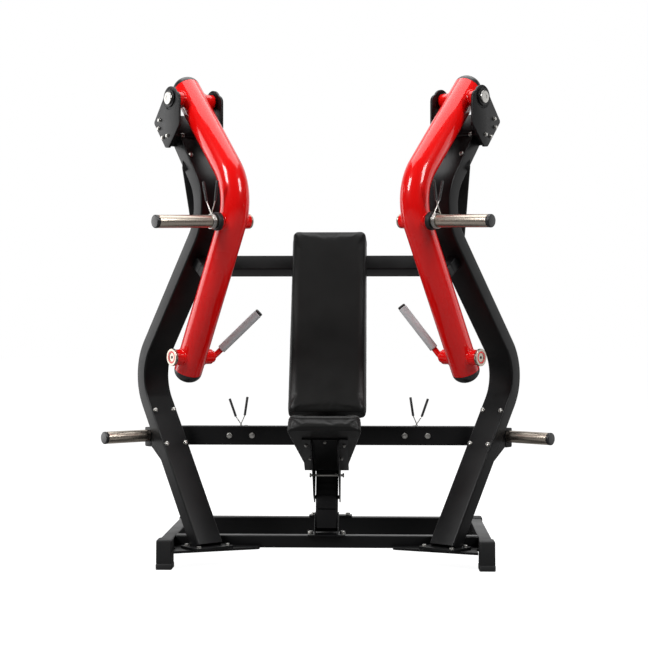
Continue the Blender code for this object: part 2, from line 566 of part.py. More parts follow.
def bench_structure():
    """Spine tube, its foot bracket, the toothed rack, the rear brace and the backrest bracket."""
    length = (Vector(SPINE_TOP) - SPINE_FOOT).length
    middle = (0, *spine_point(length / 2, 0))
    spine = box("spine", (SPINE_W, SPINE_D, length + 0.1), middle, None, black, SPINE_TURN)
    soften(spine, 0.006)
    inner = (SPINE_W - 2 * WALL, SPINE_D - 2 * WALL, length + 0.3)
    inside = box("spine_hollow", inner, middle, turn=SPINE_TURN)
    under = box("spine_low_cut", (0.3, 0.4, 0.2), (0, FRONT_BEAM_Y, BASE_TOP + 0.006 + 2 * GAP - 0.1))
    above = box("spine_high_cut", (0.3, 0.2, 0.2),
                (0, *(Vector(SPINE_TOP) + BACK_DIR * (0.1 - UPPER_BAR / 2 - GAP))), turn=BACK_TURN)
    boolean(spine, "DIFFERENCE", inside, under, above)

    bracket = box("spine_foot", (0.152, 0.100, 0.006), (0, FRONT_BEAM_Y, BASE_TOP + GAP + 0.003), None, black)
    for k in (-1, 1):
        ear = plate(f"spine_foot_ear_{k}", EAR_CORNERS, EAR_T, k * (SPINE_W / 2 + GAP + EAR_T / 2))
        boolean(bracket, "UNION", ear)

    face = SPINE_D / 2 + GAP
    outline = [spine_point(RACK_FOOT_U, face)]
    for k in range(RACK_TEETH):
        low = RACK_FOOT_U + k * RACK_PITCH
        outline += [spine_point(low, face + RACK_BASE), spine_point(low + RACK_PITCH, face + RACK_CREST)]
    outline += [spine_point(RACK_FOOT_U + RACK_TEETH * RACK_PITCH, face)]
    plate("seat_rack", outline, 0.076, finish=black)

    low, high = Vector((REAR_BEAM_Y - 0.010, BASE_TOP)), spine_point(BRACE_U, 0)
    turn = -math.atan2((high - low).x, (high - low).y)
    middle, length = (0, *((low + high) / 2)), (high - low).length
    brace = box("rear_brace", (BRACE_W, BRACE_D, length + 0.1), middle, None, black, turn)
    soften(brace, 0.005)
    core = box("brace_hollow", (BRACE_W - 2 * WALL, BRACE_D - 2 * WALL, length + 0.3), middle, turn=turn)
    foot = box("brace_foot", (0.190, 0.050, 0.008), (0, REAR_BEAM_Y, BASE_TOP + GAP + 0.004))
    beam = box("brace_low_cut", (0.3, 0.3, 0.2), (0, REAR_BEAM_Y, BASE_TOP + GAP - 0.1))
    behind = spine_point(BRACE_U, 0.2 - SPINE_D / 2 - GAP)
    tube = box("brace_high_cut", (0.3, 0.4, 0.8), (0, *behind), turn=SPINE_TURN)
    boolean(brace, "UNION", foot)
    boolean(brace, "DIFFERENCE", core, beam, tube)

    rail_foot = Vector(BACK_FOOT) + BACK_NORMAL * (BACK_T + GAP + RAIL_T / 2)
    rail_mid = rail_foot + BACK_DIR * RAIL_MID
    rail = box("backrest_bracket", (RAIL_W, RAIL_T, RAIL_L), (0, *rail_mid), None, black, BACK_TURN)
    for height, deep in ((0.130, 0.150), (0.430, 0.080)):
        post_mid = rail_foot + BACK_DIR * height + BACK_NORMAL * (deep / 2)
        post = box(f"backrest_post_{height}", (RAIL_W, deep, 0.050), (0, *post_mid), turn=BACK_TURN)
        boolean(rail, "UNION", post)
    spine_side = spine_point(0.6, SPINE_D / 2 + GAP - 0.2)
    keep = box("bracket_cut", (0.3, 0.4, 1.6), (0, *spine_side), turn=SPINE_TURN)
    boolean(rail, "DIFFERENCE", keep)


def padding():
    """Backrest and seat cushions."""
    half, length = BACK_W / 2, (Vector(BACK_HEAD) - Vector(BACK_FOOT)).length
    outline = rounded([(-half, 0), (half, 0), (half, length), (-half, length)], 0.030, steps=4, closed=True)
    centre = Vector(BACK_FOOT) + BACK_NORMAL * (BACK_T / 2)
    place = Matrix.Translation((0, *centre)) @ Matrix.Rotation(BACK_TURN + math.pi / 2, 4, "X")
    soften(plate("backrest_pad", outline, BACK_T, finish=vinyl, plane=place), 0.012)

    run = Vector(SEAT_REAR) - Vector(SEAT_FRONT)
    front, rear = SEAT_FRONT_W / 2, SEAT_REAR_W / 2
    outline = rounded([(-front, 0), (-rear, -run.length), (rear, -run.length), (front, 0)],
                      [0.030, 0.020, 0.020, 0.030], steps=4, closed=True)
    tilt = math.atan2(run.y, run.x) + math.pi
    up = Vector((-run.y, run.x)).normalized()
    centre = Vector(SEAT_FRONT) + up * (SEAT_T / 2)
    place = Matrix.Translation((0, *centre)) @ Matrix.Rotation(tilt, 4, "X")
    pad = plate("seat_pad", outline, SEAT_T, parent=seat_slide, finish=vinyl, plane=place)
    soften(pad, 0.012)


def seat_carriage():
    """Carriage that slides on the spine, and the spring pawl on its cross pin."""
    run = (Vector(SEAT_REAR) - Vector(SEAT_FRONT)).normalized()
    down = -Vector((-run.y, run.x))
    under = down * (GAP + 0.006)
    front, rear = Vector(SEAT_FRONT) + run * 0.085, Vector(SEAT_REAR) - run * 0.004
    outline = [spine_point(0.150, -0.048), spine_point(0.150, 0.060), Vector((-0.110, 0.345)),
               front + down * 0.050, front + under, rear + under,
               Vector(SEAT_REAR) + down * 0.004 + run * 0.006,
               spine_point(0.300, 0.040), spine_point(0.310, -0.048)]
    tray_mid = (front + rear) / 2 + down * (GAP + 0.003)
    tray = box("seat_carriage", (0.180, (rear - front).length, 0.006), (0, *tray_mid), seat_slide, black,
               turn=math.atan2(run.y, run.x))
    for k in (-1, 1):
        cheek = plate(f"carriage_cheek_{k}", outline, 0.005, k * (SPINE_W / 2 + 0.0075), seat_slide)
        boolean(tray, "UNION", cheek)
    for u in (0.170, 0.290):
        behind = spine_point(u, -0.0386)
        bar = rod(f"carriage_bar_{u}", 0.008, (-0.051, *behind), (0.051, *behind), seat_slide, sides=20)
        boolean(tray, "UNION", bar)
    pin = latch_place(LATCH_TRAVEL)
    slot = box("latch_slots", (0.2, LATCH_TRAVEL + 2 * LATCH_R + 2 * GAP, 2 * LATCH_R + 2 * GAP),
               (0, *latch_place(LATCH_TRAVEL / 2)), seat_slide, turn=SPINE_TURN)
    boolean(tray, "DIFFERENCE", slot)

    latch = rod("seat_latch", LATCH_R, (-0.065, *pin), (0.065, *pin), latch_joint, steel, sides=20)
    knobs = [rod(f"latch_knob_{k}", 0.009, (k * 0.064, *pin), (k * 0.071, *pin), latch_joint, sides=20)
             for k in (-1, 1)]
    boolean(latch, "UNION", *knobs)


def latch_place(pull):
    """(y, z) of the latch's cross pin, pulled forward from where it lies home in a tooth."""
    slope = (RACK_CREST - RACK_BASE) / RACK_PITCH
    height = LATCH_R + GAP
    depth = SPINE_D / 2 + GAP + RACK_BASE + slope * height + (LATCH_R + GAP) * math.hypot(1, slope)
    return spine_point(RACK_FOOT_U + LATCH_TOOTH * RACK_PITCH + height, depth + pull)


# ---------------------------------------------------------------- base

def base():
    """H-shaped base: side tubes, front and rear beams, corner gussets and feet."""
    middle, length = (BASE_FRONT + BASE_REAR) / 2, BASE_REAR - BASE_FRONT
    tube_z, edge = BASE_TOP - BEAM / 2, SIDE_X - BEAM / 2 - GAP
    for side, hand, frame in sides:
        x = side * SIDE_X
        rail = box("side_tube_" + hand, (BEAM, length, BEAM), (x, middle, tube_z), None, black)
        soften(rail, 0.005)
        inner = BEAM - 2 * WALL
        core = box("side_tube_hollow_" + hand, (inner, length + 0.1, inner), (x, middle, tube_z))
        boolean(rail, "DIFFERENCE", core)
        for place, end, sign in (("front", BASE_FRONT, 1), ("rear", BASE_REAR, -1)):
            tall = BASE_TOP + SHOE_OVER
            shoe = box(f"{place}_foot_{hand}", (SHOE_W, SHOE_L, tall), (x, end + sign * SHOE_MID, tall / 2),
                       finish=rubber)
            soften(shoe, 0.004)
            hole = box(f"{place}_foot_hole_{hand}", (BEAM + 2 * GAP, 0.2, BEAM + 2 * GAP),
                       (x, end + sign * (0.1 - GAP), tube_z))
            boolean(shoe, "DIFFERENCE", hole)
        corner = [(0.268, -0.131), (0.601, -0.262), (0.601, -0.164), (edge, -0.164),
                  (edge, FRONT_BEAM_Y - BEAM / 2 - GAP),
                  (0.268, FRONT_BEAM_Y - BEAM / 2 - GAP)]
        flat = Matrix.Translation((0, 0, GUSSET_Z + GUSSET_T / 2))
        outline = [(side * a, b) for a, b in corner]
        plate("base_gusset_" + hand, outline[::side], GUSSET_T, finish=black, plane=flat)
    between_shoes = SIDE_X - SHOE_W / 2 - GAP
    for name, y, tall, reach in (("front_beam", FRONT_BEAM_Y, BEAM, edge),
                                 ("rear_beam", REAR_BEAM_Y, REAR_BEAM_H, between_shoes)):
        centre = (0, y, BASE_TOP - tall / 2)
        beam = box(name, (2 * reach, BEAM, tall), centre, None, black)
        soften(beam, 0.005)
        core = box(name + "_hollow", (2 * reach + 0.1, BEAM - 2 * WALL, tall - 2 * WALL), centre)
        boolean(beam, "DIFFERENCE", core)


for old in list(bpy.data.objects):
    bpy.data.objects.remove(old)

machine = bpy.data.collections.new("chest_press_machine")
cutters = bpy.data.collections.new("cutters")
for group in (machine, cutters):
    bpy.context.scene.collection.children.link(group)

black = material("black_powder_coat", (0.012, 0.012, 0.013), 0.45)
red = material("red_gloss_paint", (0.62, 0.010, 0.012), 0.22)
chrome = material("chrome", (0.62, 0.60, 0.57), 0.22, 1.0)
steel = material("zinc_steel", (0.55, 0.54, 0.52), 0.35, 1.0)
bronze = material("bearing_bronze", (0.45, 0.27, 0.12), 0.40, 1.0)
rubber = material("black_rubber", (0.014, 0.014, 0.014), 0.75)
plastic = material("black_plastic", (0.016, 0.016, 0.017), 0.40)
foam = material("grey_grip", (0.45, 0.45, 0.46), 0.55)
vinyl = material("black_vinyl", (0.012, 0.012, 0.012), 0.50)

sides = []
for side, hand in ((1, "right"), (-1, "left")):
    frame = joint_empty("side_" + hand, (0, 0, 0))
    frame.location = (side * PIVOT_X, PIVOT_Y, 0)
    frame.rotation_euler.z = -side * SIDE_TURN
    sides.append((side, hand, frame))

for side, hand, frame in sides:
    arm_joint = joint_empty("arm_joint_" + hand, (0, 0, PIVOT_Z), frame)
    slide = joint_empty("weight_collar_slide_" + hand, horn_point(side, RING_X + RING_T + COLLAR_GAP), frame)
    swivel = joint_empty("handle_joint_" + hand, (0, 0, SWIVEL_Z), frame)
    main_frame(side, hand, frame)
    pivot_group(side, hand, frame)
    arm_group(side, hand, arm_joint)
    horn_group(side, hand, arm_joint, slide)
    handle_group(side, hand, swivel)

seat_slide = joint_empty("seat_slide", (0, *spine_point(RACK_FOOT_U + LATCH_TOOTH * RACK_PITCH, 0)))
latch_joint = joint_empty("latch_joint", (0, *latch_place(LATCH_TRAVEL)))
middle_crossbar()
storage_horns()
upper_bars()
bench_structure()
seat_carriage()
padding()
base()
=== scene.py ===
"""Plate-loaded chest press: the looks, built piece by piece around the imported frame."""
import math

import bmesh
import bpy
import numpy as np
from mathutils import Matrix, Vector
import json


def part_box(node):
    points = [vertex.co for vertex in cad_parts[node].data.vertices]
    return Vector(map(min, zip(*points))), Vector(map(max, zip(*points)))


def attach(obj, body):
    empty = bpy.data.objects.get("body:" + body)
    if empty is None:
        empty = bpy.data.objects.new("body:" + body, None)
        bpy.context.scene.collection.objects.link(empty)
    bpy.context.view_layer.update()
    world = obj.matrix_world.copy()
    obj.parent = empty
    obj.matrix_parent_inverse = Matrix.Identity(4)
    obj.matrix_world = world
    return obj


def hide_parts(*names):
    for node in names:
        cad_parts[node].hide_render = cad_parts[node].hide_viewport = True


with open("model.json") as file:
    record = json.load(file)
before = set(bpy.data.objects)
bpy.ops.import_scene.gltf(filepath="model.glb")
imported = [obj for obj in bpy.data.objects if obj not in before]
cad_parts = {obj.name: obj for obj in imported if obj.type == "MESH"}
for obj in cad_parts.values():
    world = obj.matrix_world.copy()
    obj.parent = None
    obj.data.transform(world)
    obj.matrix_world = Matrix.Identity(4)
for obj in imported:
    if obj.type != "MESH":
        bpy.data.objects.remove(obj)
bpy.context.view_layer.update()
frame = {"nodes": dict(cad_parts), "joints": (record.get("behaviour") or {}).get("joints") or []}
joints = {j["name"]: j for j in frame["joints"]}


# ---------------------------------------------------------------- The studio
# A pale seamless floor under a white backdrop that lights the machine from behind, two soft keys at
# the front corners, a tall soft box at each side and one overhead. The front of the room is dark.
EYE = Vector((0.196, -6.250, 0.995))
LENS, EYE_YAW, EYE_PITCH = 84.8, math.radians(1.91), math.radians(-0.23)

camera = bpy.data.objects.new("camera", bpy.data.cameras.new("camera"))
camera.data.lens = LENS
camera.data.clip_end = 60.0
camera.location = EYE
camera.rotation_euler = (math.radians(90) + EYE_PITCH, 0.0, EYE_YAW)
bpy.context.scene.collection.objects.link(camera)
bpy.context.scene.camera = camera
bpy.context.scene.view_settings.view_transform = "Standard"


def node(tree, kind, inputs=None, **settings):
    """A shader node with its settings; an input takes a value or another node's output."""
    made = tree.nodes.new(kind)
    for key, value in settings.items():
        setattr(made, key, value)
    for key, value in (inputs or {}).items():
        if isinstance(value, bpy.types.NodeSocket):
            tree.links.new(value, made.inputs[key])
        else:
            made.inputs[key].default_value = value
    return made


def soft_box(name, place, aim, width, height, power):
    """A rectangular lamp at a place, turned to face a point."""
    lamp = bpy.data.lights.new(name, "AREA")
    lamp.shape, lamp.size, lamp.size_y, lamp.energy = "RECTANGLE", width, height, power
    holder = bpy.data.objects.new(name, lamp)
    holder.location = place
    holder.rotation_euler = (Vector(aim) - Vector(place)).to_track_quat("-Z", "Y").to_euler()
    bpy.context.scene.collection.objects.link(holder)


soft_box("left_key_box", (-3.9, -3.4, 4.3), (0, 0, 0.9), 1.6, 2.2, 270)
soft_box("right_key_box", (3.9, -3.4, 4.3), (0, 0, 0.9), 1.6, 2.2, 190)
soft_box("left_soft_box", (-4.2, 1.1, 1.5), (0, 0, 1.0), 2.6, 3.2, 75)
soft_box("right_soft_box", (4.2, 1.1, 1.5), (0, 0, 1.0), 2.6, 3.2, 28)
soft_box("top_soft_box", (0, 0.6, 4.4), (0, 0, 0.8), 4.0, 3.0, 110)

world = bpy.data.worlds.new("studio")
world.use_nodes = True
bpy.context.scene.world = world
sky = world.node_tree
sky.nodes.clear()
seen = node(sky, "ShaderNodeLightPath")
towards = node(sky, "ShaderNodeSeparateXYZ", {0: node(sky, "ShaderNodeTexCoord").outputs["Generated"]})
backdrop = node(sky, "ShaderNodeMapRange", {"Value": towards.outputs["Y"], "From Min": 0.25, "From Max": 0.95,
                                            "To Min": 0.09, "To Max": 0.88}, interpolation_type="SMOOTHSTEP")
room = node(sky, "ShaderNodeBackground", {"Color": (1.0, 1.0, 1.0, 1.0), "Strength": backdrop.outputs[0]})
paper = node(sky, "ShaderNodeBackground", {"Color": (1.0, 1.0, 1.0, 1.0), "Strength": 1.0})
either = node(sky, "ShaderNodeMixShader", {0: seen.outputs["Is Camera Ray"], 1: room.outputs[0],
                                           2: paper.outputs[0]})
node(sky, "ShaderNodeOutputWorld", {"Surface": either.outputs[0]})


def bare_material(name):
    """A new material and its node tree, emptied."""
    made = bpy.data.materials.new(name)
    made.use_nodes = True
    made.node_tree.nodes.clear()
    return made, made.node_tree


floor_mesh = bpy.data.meshes.new("floor")
FLOOR_HALF = 30.0
floor_mesh.from_pydata([(-FLOOR_HALF, -FLOOR_HALF, 0), (FLOOR_HALF, -FLOOR_HALF, 0),
                        (FLOOR_HALF, FLOOR_HALF, 0), (-FLOOR_HALF, FLOOR_HALF, 0)], [], [(0, 1, 2, 3)])
floor = bpy.data.objects.new("floor", floor_mesh)
floor.location.z = -0.0005
bpy.context.scene.collection.objects.link(floor)
pale, paper_tree = bare_material("pale_floor")
wash = node(paper_tree, "ShaderNodeBsdfDiffuse", {"Color": (0.30, 0.30, 0.30, 1.0)})
glow = node(paper_tree, "ShaderNodeEmission", {"Color": (1.0, 1.0, 1.0, 1.0), "Strength": 0.95})
lit = node(paper_tree, "ShaderNodeAddShader", {0: wash.outputs[0], 1: glow.outputs[0]})
eye = node(paper_tree, "ShaderNodeLightPath")
both = node(paper_tree, "ShaderNodeMixShader", {0: eye.outputs["Is Camera Ray"], 1: wash.outputs[0],
                                                2: lit.outputs[0]})
node(paper_tree, "ShaderNodeOutputMaterial", {"Surface": both.outputs[0]})
floor_mesh.materials.append(pale)


# ---------------------------------------------------------------- Base rails and beams
# Square steel tube, cut and bolted into an H, powder coated a fine satin black. The side
# tubes lie front to back, the front beam is low and square and the rear beam tall.
BASE_CORNER = 0.006


def group(name, inputs, outputs):
    """An empty shader node group with named sockets; inputs pairs each name with its default."""
    tree = bpy.data.node_groups.new(name, "ShaderNodeTree")
    for label, default in inputs.items():
        kind = "NodeSocketVector" if default is None else "NodeSocketFloat"
        socket = tree.interface.new_socket(label, in_out="INPUT", socket_type=kind)
        if default is not None:
            socket.default_value = default
    for label in outputs:
        tree.interface.new_socket(label, in_out="OUTPUT", socket_type="NodeSocketFloat")
    return tree, node(tree, "NodeGroupInput"), node(tree, "NodeGroupOutput")


grain, given, result = group("grain", {"Vector": None, "Scale": 800.0, "Cloud Scale": 9.0},
                             ("Height", "Cloud"))
specks = node(grain, "ShaderNodeTexNoise", {"Vector": given.outputs["Vector"],
                                            "Scale": given.outputs["Scale"],
                                            "Detail": 3.0, "Roughness": 0.6})
cloud = node(grain, "ShaderNodeTexNoise", {"Vector": given.outputs["Vector"],
                                           "Scale": given.outputs["Cloud Scale"], "Detail": 4.0})
grain.links.new(specks.outputs["Fac"], result.inputs["Height"])
grain.links.new(cloud.outputs["Fac"], result.inputs["Cloud"])


def finish(name, dark, light, rough, grain_scale, relief, cloud_scale=9.0, **constants):
    """A surface whose colour and roughness drift between two values and whose grain stands up in a bump."""
    made, tree = bare_material(name)
    where = node(tree, "ShaderNodeTexCoord").outputs["Object"]
    texture = node(tree, "ShaderNodeGroup", node_tree=grain)
    tree.links.new(where, texture.inputs["Vector"])
    texture.inputs["Scale"].default_value = grain_scale
    texture.inputs["Cloud Scale"].default_value = cloud_scale
    colour = node(tree, "ShaderNodeMix", {0: texture.outputs["Cloud"], 6: (*dark, 1.0), 7: (*light, 1.0)},
                  data_type="RGBA")
    sheen = node(tree, "ShaderNodeMapRange", {"Value": texture.outputs["Cloud"], "From Min": 0.3,
                                              "From Max": 0.7, "To Min": rough[0], "To Max": rough[1]})
    bump = node(tree, "ShaderNodeBump", {"Height": texture.outputs["Height"], "Strength": 1.0,
                                         "Distance": relief})
    shader = node(tree, "ShaderNodeBsdfPrincipled",
                  {"Base Color": colour.outputs[2], "Roughness": sheen.outputs[0], "Normal": bump.outputs[0]})
    for key, value in constants.items():
        shader.inputs[key.replace("_", " ")].default_value = value
    node(tree, "ShaderNodeOutputMaterial", {"Surface": shader.outputs[0]})
    return made


powder_coat = finish("powder_coat", (0.0030, 0.0030, 0.0033), (0.0044, 0.0044, 0.0048), (0.34, 0.42), 900.0,
                     0.00006,
                     Specular_IOR_Level=0.22)
coated = {"slot": "black_powder_coat", "material": powder_coat}


def unit(v):
    """Vectors scaled to length one."""
    v = np.asarray(v, float)
    return v / np.linalg.norm(v, axis=-1, keepdims=True)


def corner_arc(last, here, following, radius, steps):
    """The arc that rounds a corner: its centre plus the radius turned from one tangent point to the other."""
    a, b = unit(last - here), unit(following - here)
    half = math.acos(float(a @ b)) / 2
    centre = here + unit(a + b) * radius / math.sin(half)
    u, v = here + a * radius / math.tan(half) - centre, here + b * radius / math.tan(half) - centre
    sweep = math.pi - 2 * half
    t = np.linspace(0, 1, steps + 1)[:, None]
    return centre + (np.sin((1 - t) * sweep) * u + np.sin(t * sweep) * v) / math.sin(sweep)


def bent(points, radius, steps=24):
    """Corner points joined by straight runs, with an arc at each inner corner."""
    points = np.asarray(points, float)
    arcs = [corner_arc(*three, radius, steps) for three in zip(points[:-2], points[1:-1], points[2:])]
    return np.concatenate([points[:1], *arcs, points[-1:]])


def box_section(width, depth, corner, steps=6):
    """Outline of a rectangular tube: four quarter circles, one at each corner."""
    angle = np.linspace(0, math.pi / 2, steps + 1)
    arc = np.stack([np.cos(angle), np.sin(angle)], 1) * corner
    inner = np.array([width / 2 - corner, depth / 2 - corner])
    turns = [(1, 1, False), (-1, 1, True), (-1, -1, False), (1, -1, True)]
    return np.concatenate([((inner + arc) * (sx, sy))[::-1 if back else 1] for sx, sy, back in turns])


def carried(section, path, across, edge=0.0015):
    """Rings of a section carried along a path. The section's first coordinate keeps to the across
    direction, its second is square to that and to the path, and the last rings round the ends."""
    path, across = np.asarray(path, float), unit(across)
    quarter = np.linspace(0, math.pi / 2, 4)[:-1]
    depth, inset = edge * (1 - np.sin(quarter)), edge * (1 - np.cos(quarter))
    first, last = unit(path[1] - path[0]), unit(path[-2] - path[-1])
    line = np.concatenate([path[0] + inset[:, None] * first, path[0:1] + edge * first, path[1:-1],
                           path[-1:] + edge * last, (path[-1] + inset[:, None] * last)[::-1]])
    shrink = np.concatenate([depth[:], np.zeros(len(line) - 2 * len(depth)), depth[::-1]])
    tangent = unit(np.gradient(line, axis=0))
    tangent[: len(depth) + 1], tangent[-len(depth) - 1:] = first, -last
    u = unit(across - (tangent @ across)[:, None] * tangent)
    v = np.cross(tangent, u)
    half = np.abs(section).max(0)
    scaled = section[None] * (1 - shrink[:, None, None] / half)
    return line[:, None] + scaled[..., :1] * u[:, None] + scaled[..., 1:] * v[:, None]


def piece(name, *ring_sets, body="root", stands_for=(), slot, material, loop=False, crease=40.0):
    """A mesh from grids of points, ring by ring: each cell is a face, each end ring is capped, and the
    UV map holds the distances in metres along and around the rings."""
    points, faces, uvs, start = [], [], [], 0
    for rings in ring_sets:
        rows, cols = rings.shape[:2]
        along = np.concatenate([[0], np.cumsum(np.linalg.norm(np.diff(rings.mean(1), axis=0), axis=1))])
        widest = rings[np.argmax(np.ptp(rings, axis=1).sum(1))]
        around = np.concatenate([[0], np.cumsum(np.linalg.norm(np.roll(widest, -1, 0) - widest, axis=1))])
        if loop or np.ptp(along) < 1e-6:
            along = np.concatenate([[0], np.cumsum(np.linalg.norm(np.diff(rings[:, 0], axis=0), axis=1))])
        i, j = np.meshgrid(np.arange(rows if loop else rows - 1), np.arange(cols), indexing="ij")
        k, m = (i + 1) % rows, (j + 1) % cols
        faces += (start + np.stack([i * cols + j, i * cols + m, k * cols + m, k * cols + j], -1)
                  ).reshape(-1, 4).tolist()
        row_uv = np.append(along, along[-1] + 0.01)
        corners = np.stack([np.stack([row_uv[i], around[j]], -1), np.stack([row_uv[i], around[j + 1]], -1),
                            np.stack([row_uv[i + 1], around[j + 1]], -1), np.stack([row_uv[i + 1], around[j]],
                                                                                   -1)], 2)
        uvs.append(corners.reshape(-1, 2))
        if not loop:
            for row in (0, rows - 1):
                faces.append((start + row * cols + np.arange(cols)).tolist())
                uvs.append(rings[row][:, :2])
        points.append(rings.reshape(-1, 3))
        start += rows * cols
    mesh = bpy.data.meshes.new(name)
    mesh.from_pydata(np.concatenate(points), [], faces)
    mesh.uv_layers.new(name="UVMap").data.foreach_set("uv", np.concatenate(uvs).ravel().astype(np.float32))
    bm = bmesh.new()
    bm.from_mesh(mesh)
    bmesh.ops.remove_doubles(bm, verts=bm.verts, dist=1e-6)
    bmesh.ops.dissolve_degenerate(bm, edges=bm.edges, dist=1e-7)
    bmesh.ops.recalc_face_normals(bm, faces=bm.faces)
    bm.to_mesh(mesh)
    bm.free()
    mesh.shade_smooth()
    mesh.set_sharp_from_angle(angle=math.radians(crease))
    mesh.materials.append(material)
    made = bpy.data.objects.new(name, mesh)
    bpy.context.scene.collection.objects.link(made)
    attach(made, body)
    if stands_for:
        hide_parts(*stands_for)
    return made


def corners_of(cad_node):
    """The low and high corners of a CAD node's box."""
    return [np.array(corner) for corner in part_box(cad_node)]


def straight_tube(cad_node, name, axis, corner, body="root"):
    """A rectangular tube that fills a CAD node's box, along the X, Y or Z axis."""
    low, high = corners_of(cad_node)
    middle, size = (low + high) / 2, high - low
    a, b = [k for k in range(3) if k != axis]
    run = np.zeros(3)
    run[axis] = size[axis] / 2
    across = np.zeros(3)
    across[a] = 1.0
    rings = carried(box_section(size[a], size[b], corner), [middle - run, middle + run], across)
    return piece(name, rings, body=body, stands_for=[cad_node], **coated)


HANDS = (("left", -1), ("right", 1))
for hand, side in HANDS:
    straight_tube("side_tube_" + hand, "side_rail_" + hand, 1, BASE_CORNER)
straight_tube("front_beam", "front_cross_beam", 0, BASE_CORNER)
straight_tube("rear_beam", "rear_cross_beam", 0, BASE_CORNER)


# ---------------------------------------------------------------- Feet
# Moulded rubber boots over the four ends of the side rails, with a wider sole and a stepped
# groove where the sole begins. They carry the machine and keep it off the floor.
SOLE_HEIGHT, SOLE_OUT, BOOT_CORNER = 0.022, 0.0012, 0.007

boot_rubber = finish("boot_rubber", (0.0060, 0.0060, 0.0064), (0.0095, 0.0095, 0.0100), (0.50, 0.62), 700.0,
                     0.00010,
                     Specular_IOR_Level=0.35)
rubbered = {"slot": "black_rubber", "material": boot_rubber}

for hand, side in HANDS:
    for place in ("front", "rear"):
        low, high = corners_of(f"{place}_foot_{hand}")
        middle, size = (low + high) / 2, high - low
        levels = np.array([[0, -0.0015], [0.0015, 0], [SOLE_HEIGHT - 0.002, 0], [SOLE_HEIGHT, -0.0012],
                           [SOLE_HEIGHT + 0.0015, -SOLE_OUT - 0.0012], [SOLE_HEIGHT + 0.004, -SOLE_OUT],
                           [size[2] - 0.006, -SOLE_OUT - 0.0006], [size[2] - 0.0022, -SOLE_OUT - 0.0014],
                           [size[2] - 0.0006, -SOLE_OUT - 0.003], [size[2], -SOLE_OUT - 0.006]])
        sole = box_section(size[0], size[1], BOOT_CORNER, steps=8)
        scale = 1 + levels[:, 1, None] / np.abs(sole).max(0)
        rings = np.zeros((len(levels), len(sole), 3))
        rings[..., :2] = middle[:2] + sole[None] * scale[:, None]
        rings[..., 2] = low[2] + levels[:, :1]
        piece(f"{place}_boot_{hand}", rings, stands_for=[f"{place}_foot_{hand}"], **rubbered)


# ---------------------------------------------------------------- Corner gussets
# Ten millimetre laser-cut plates in the front corners of the base. The main frames are bolted
# down on them.
def rounded(points, radii, steps=6):
    """A closed outline whose corners are arcs of the given radii."""
    points = np.asarray(points, float)
    radii = np.broadcast_to(radii, len(points))
    following = np.roll(points, -1, 0)
    return np.concatenate([corner_arc(points[k - 1], here, following[k], radii[k], steps)
                           for k, here in enumerate(points)])


def layered(outline, levels, place, first, second):
    """Rings of an outline drawn along two directions from a place: for each (height, inset) level its
    points are moved inwards by the inset and out of the outline's plane by the height."""
    first, second, levels = np.asarray(first, float), np.asarray(second, float), np.asarray(levels, float)
    normal = np.cross(first, second)
    ahead, behind = unit(np.roll(outline, -1, 0) - outline), unit(outline - np.roll(outline, 1, 0))
    inward = unit(ahead + behind) @ np.array([[0, 1], [-1, 0]])
    area = np.sum(outline[:, 0] * np.roll(outline[:, 1], -1) - outline[:, 1] * np.roll(outline[:, 0], -1))
    inward = inward * np.sign(area)
    flat = outline[None] + levels[:, 1, None, None] * inward[None]
    return place + flat[..., :1] * first + flat[..., 1:] * second + levels[:, :1, None] * normal


def edge_arc(height, edge, steps=4):
    """(height, inset) levels of a quarter circle that ends at a height, its inset one edge radius there."""
    angle = np.linspace(0, math.pi / 2, steps)
    return np.stack([height - np.sign(height) * edge * (1 - np.cos(angle)), edge * (1 - np.sin(angle))], 1)


def cut_plate(outline, thickness, place, first, second, edge=0.0010):
    """Rings of a flat plate whose two faces end in quarter circles of the edge radius."""
    levels = np.concatenate([edge_arc(thickness / 2, edge), edge_arc(-thickness / 2, edge)[::-1]])
    return layered(outline, levels, place, first, second)


for hand, side in HANDS:
    low, high = corners_of("base_gusset_" + hand)
    inner, outer = (low[0], high[0]) if side > 0 else (high[0], low[0])
    notch = outer - side * 0.0117
    corner = [(inner, high[1]), (inner, low[1] + 0.131), (notch, low[1]), (notch, low[1] + 0.098),
              (outer, low[1] + 0.098), (outer, high[1])]
    outline = rounded(corner, [0.002, 0.012, 0.003, 0.002, 0.002, 0.002])
    middle = np.array([0, 0, (low[2] + high[2]) / 2])
    piece("gusset_plate_" + hand, cut_plate(outline, high[2] - low[2], middle, (1, 0, 0), (0, 1, 0)),
          stands_for=["base_gusset_" + hand], **coated)


zinc = finish("zinc_plate", (0.38, 0.37, 0.35), (0.56, 0.55, 0.52), (0.26, 0.38), 1200.0, 0.00001, 40.0,
              Metallic=1.0)
zinced = {"slot": "zinc_steel", "material": zinc}
BOLT_FLATS, BOLT_HEIGHT, WASHER_R, WASHER_T, TURN = 0.019, 0.0075, 0.0120, 0.0020, math.radians(10)


def square_to(axis):
    """Two directions square to an axis and to each other."""
    helper = np.array([0, 0, 1.0]) if abs(axis[2]) < 0.9 else np.array([1.0, 0, 0])
    u = unit(np.cross(axis, helper))
    return u, np.cross(axis, u)


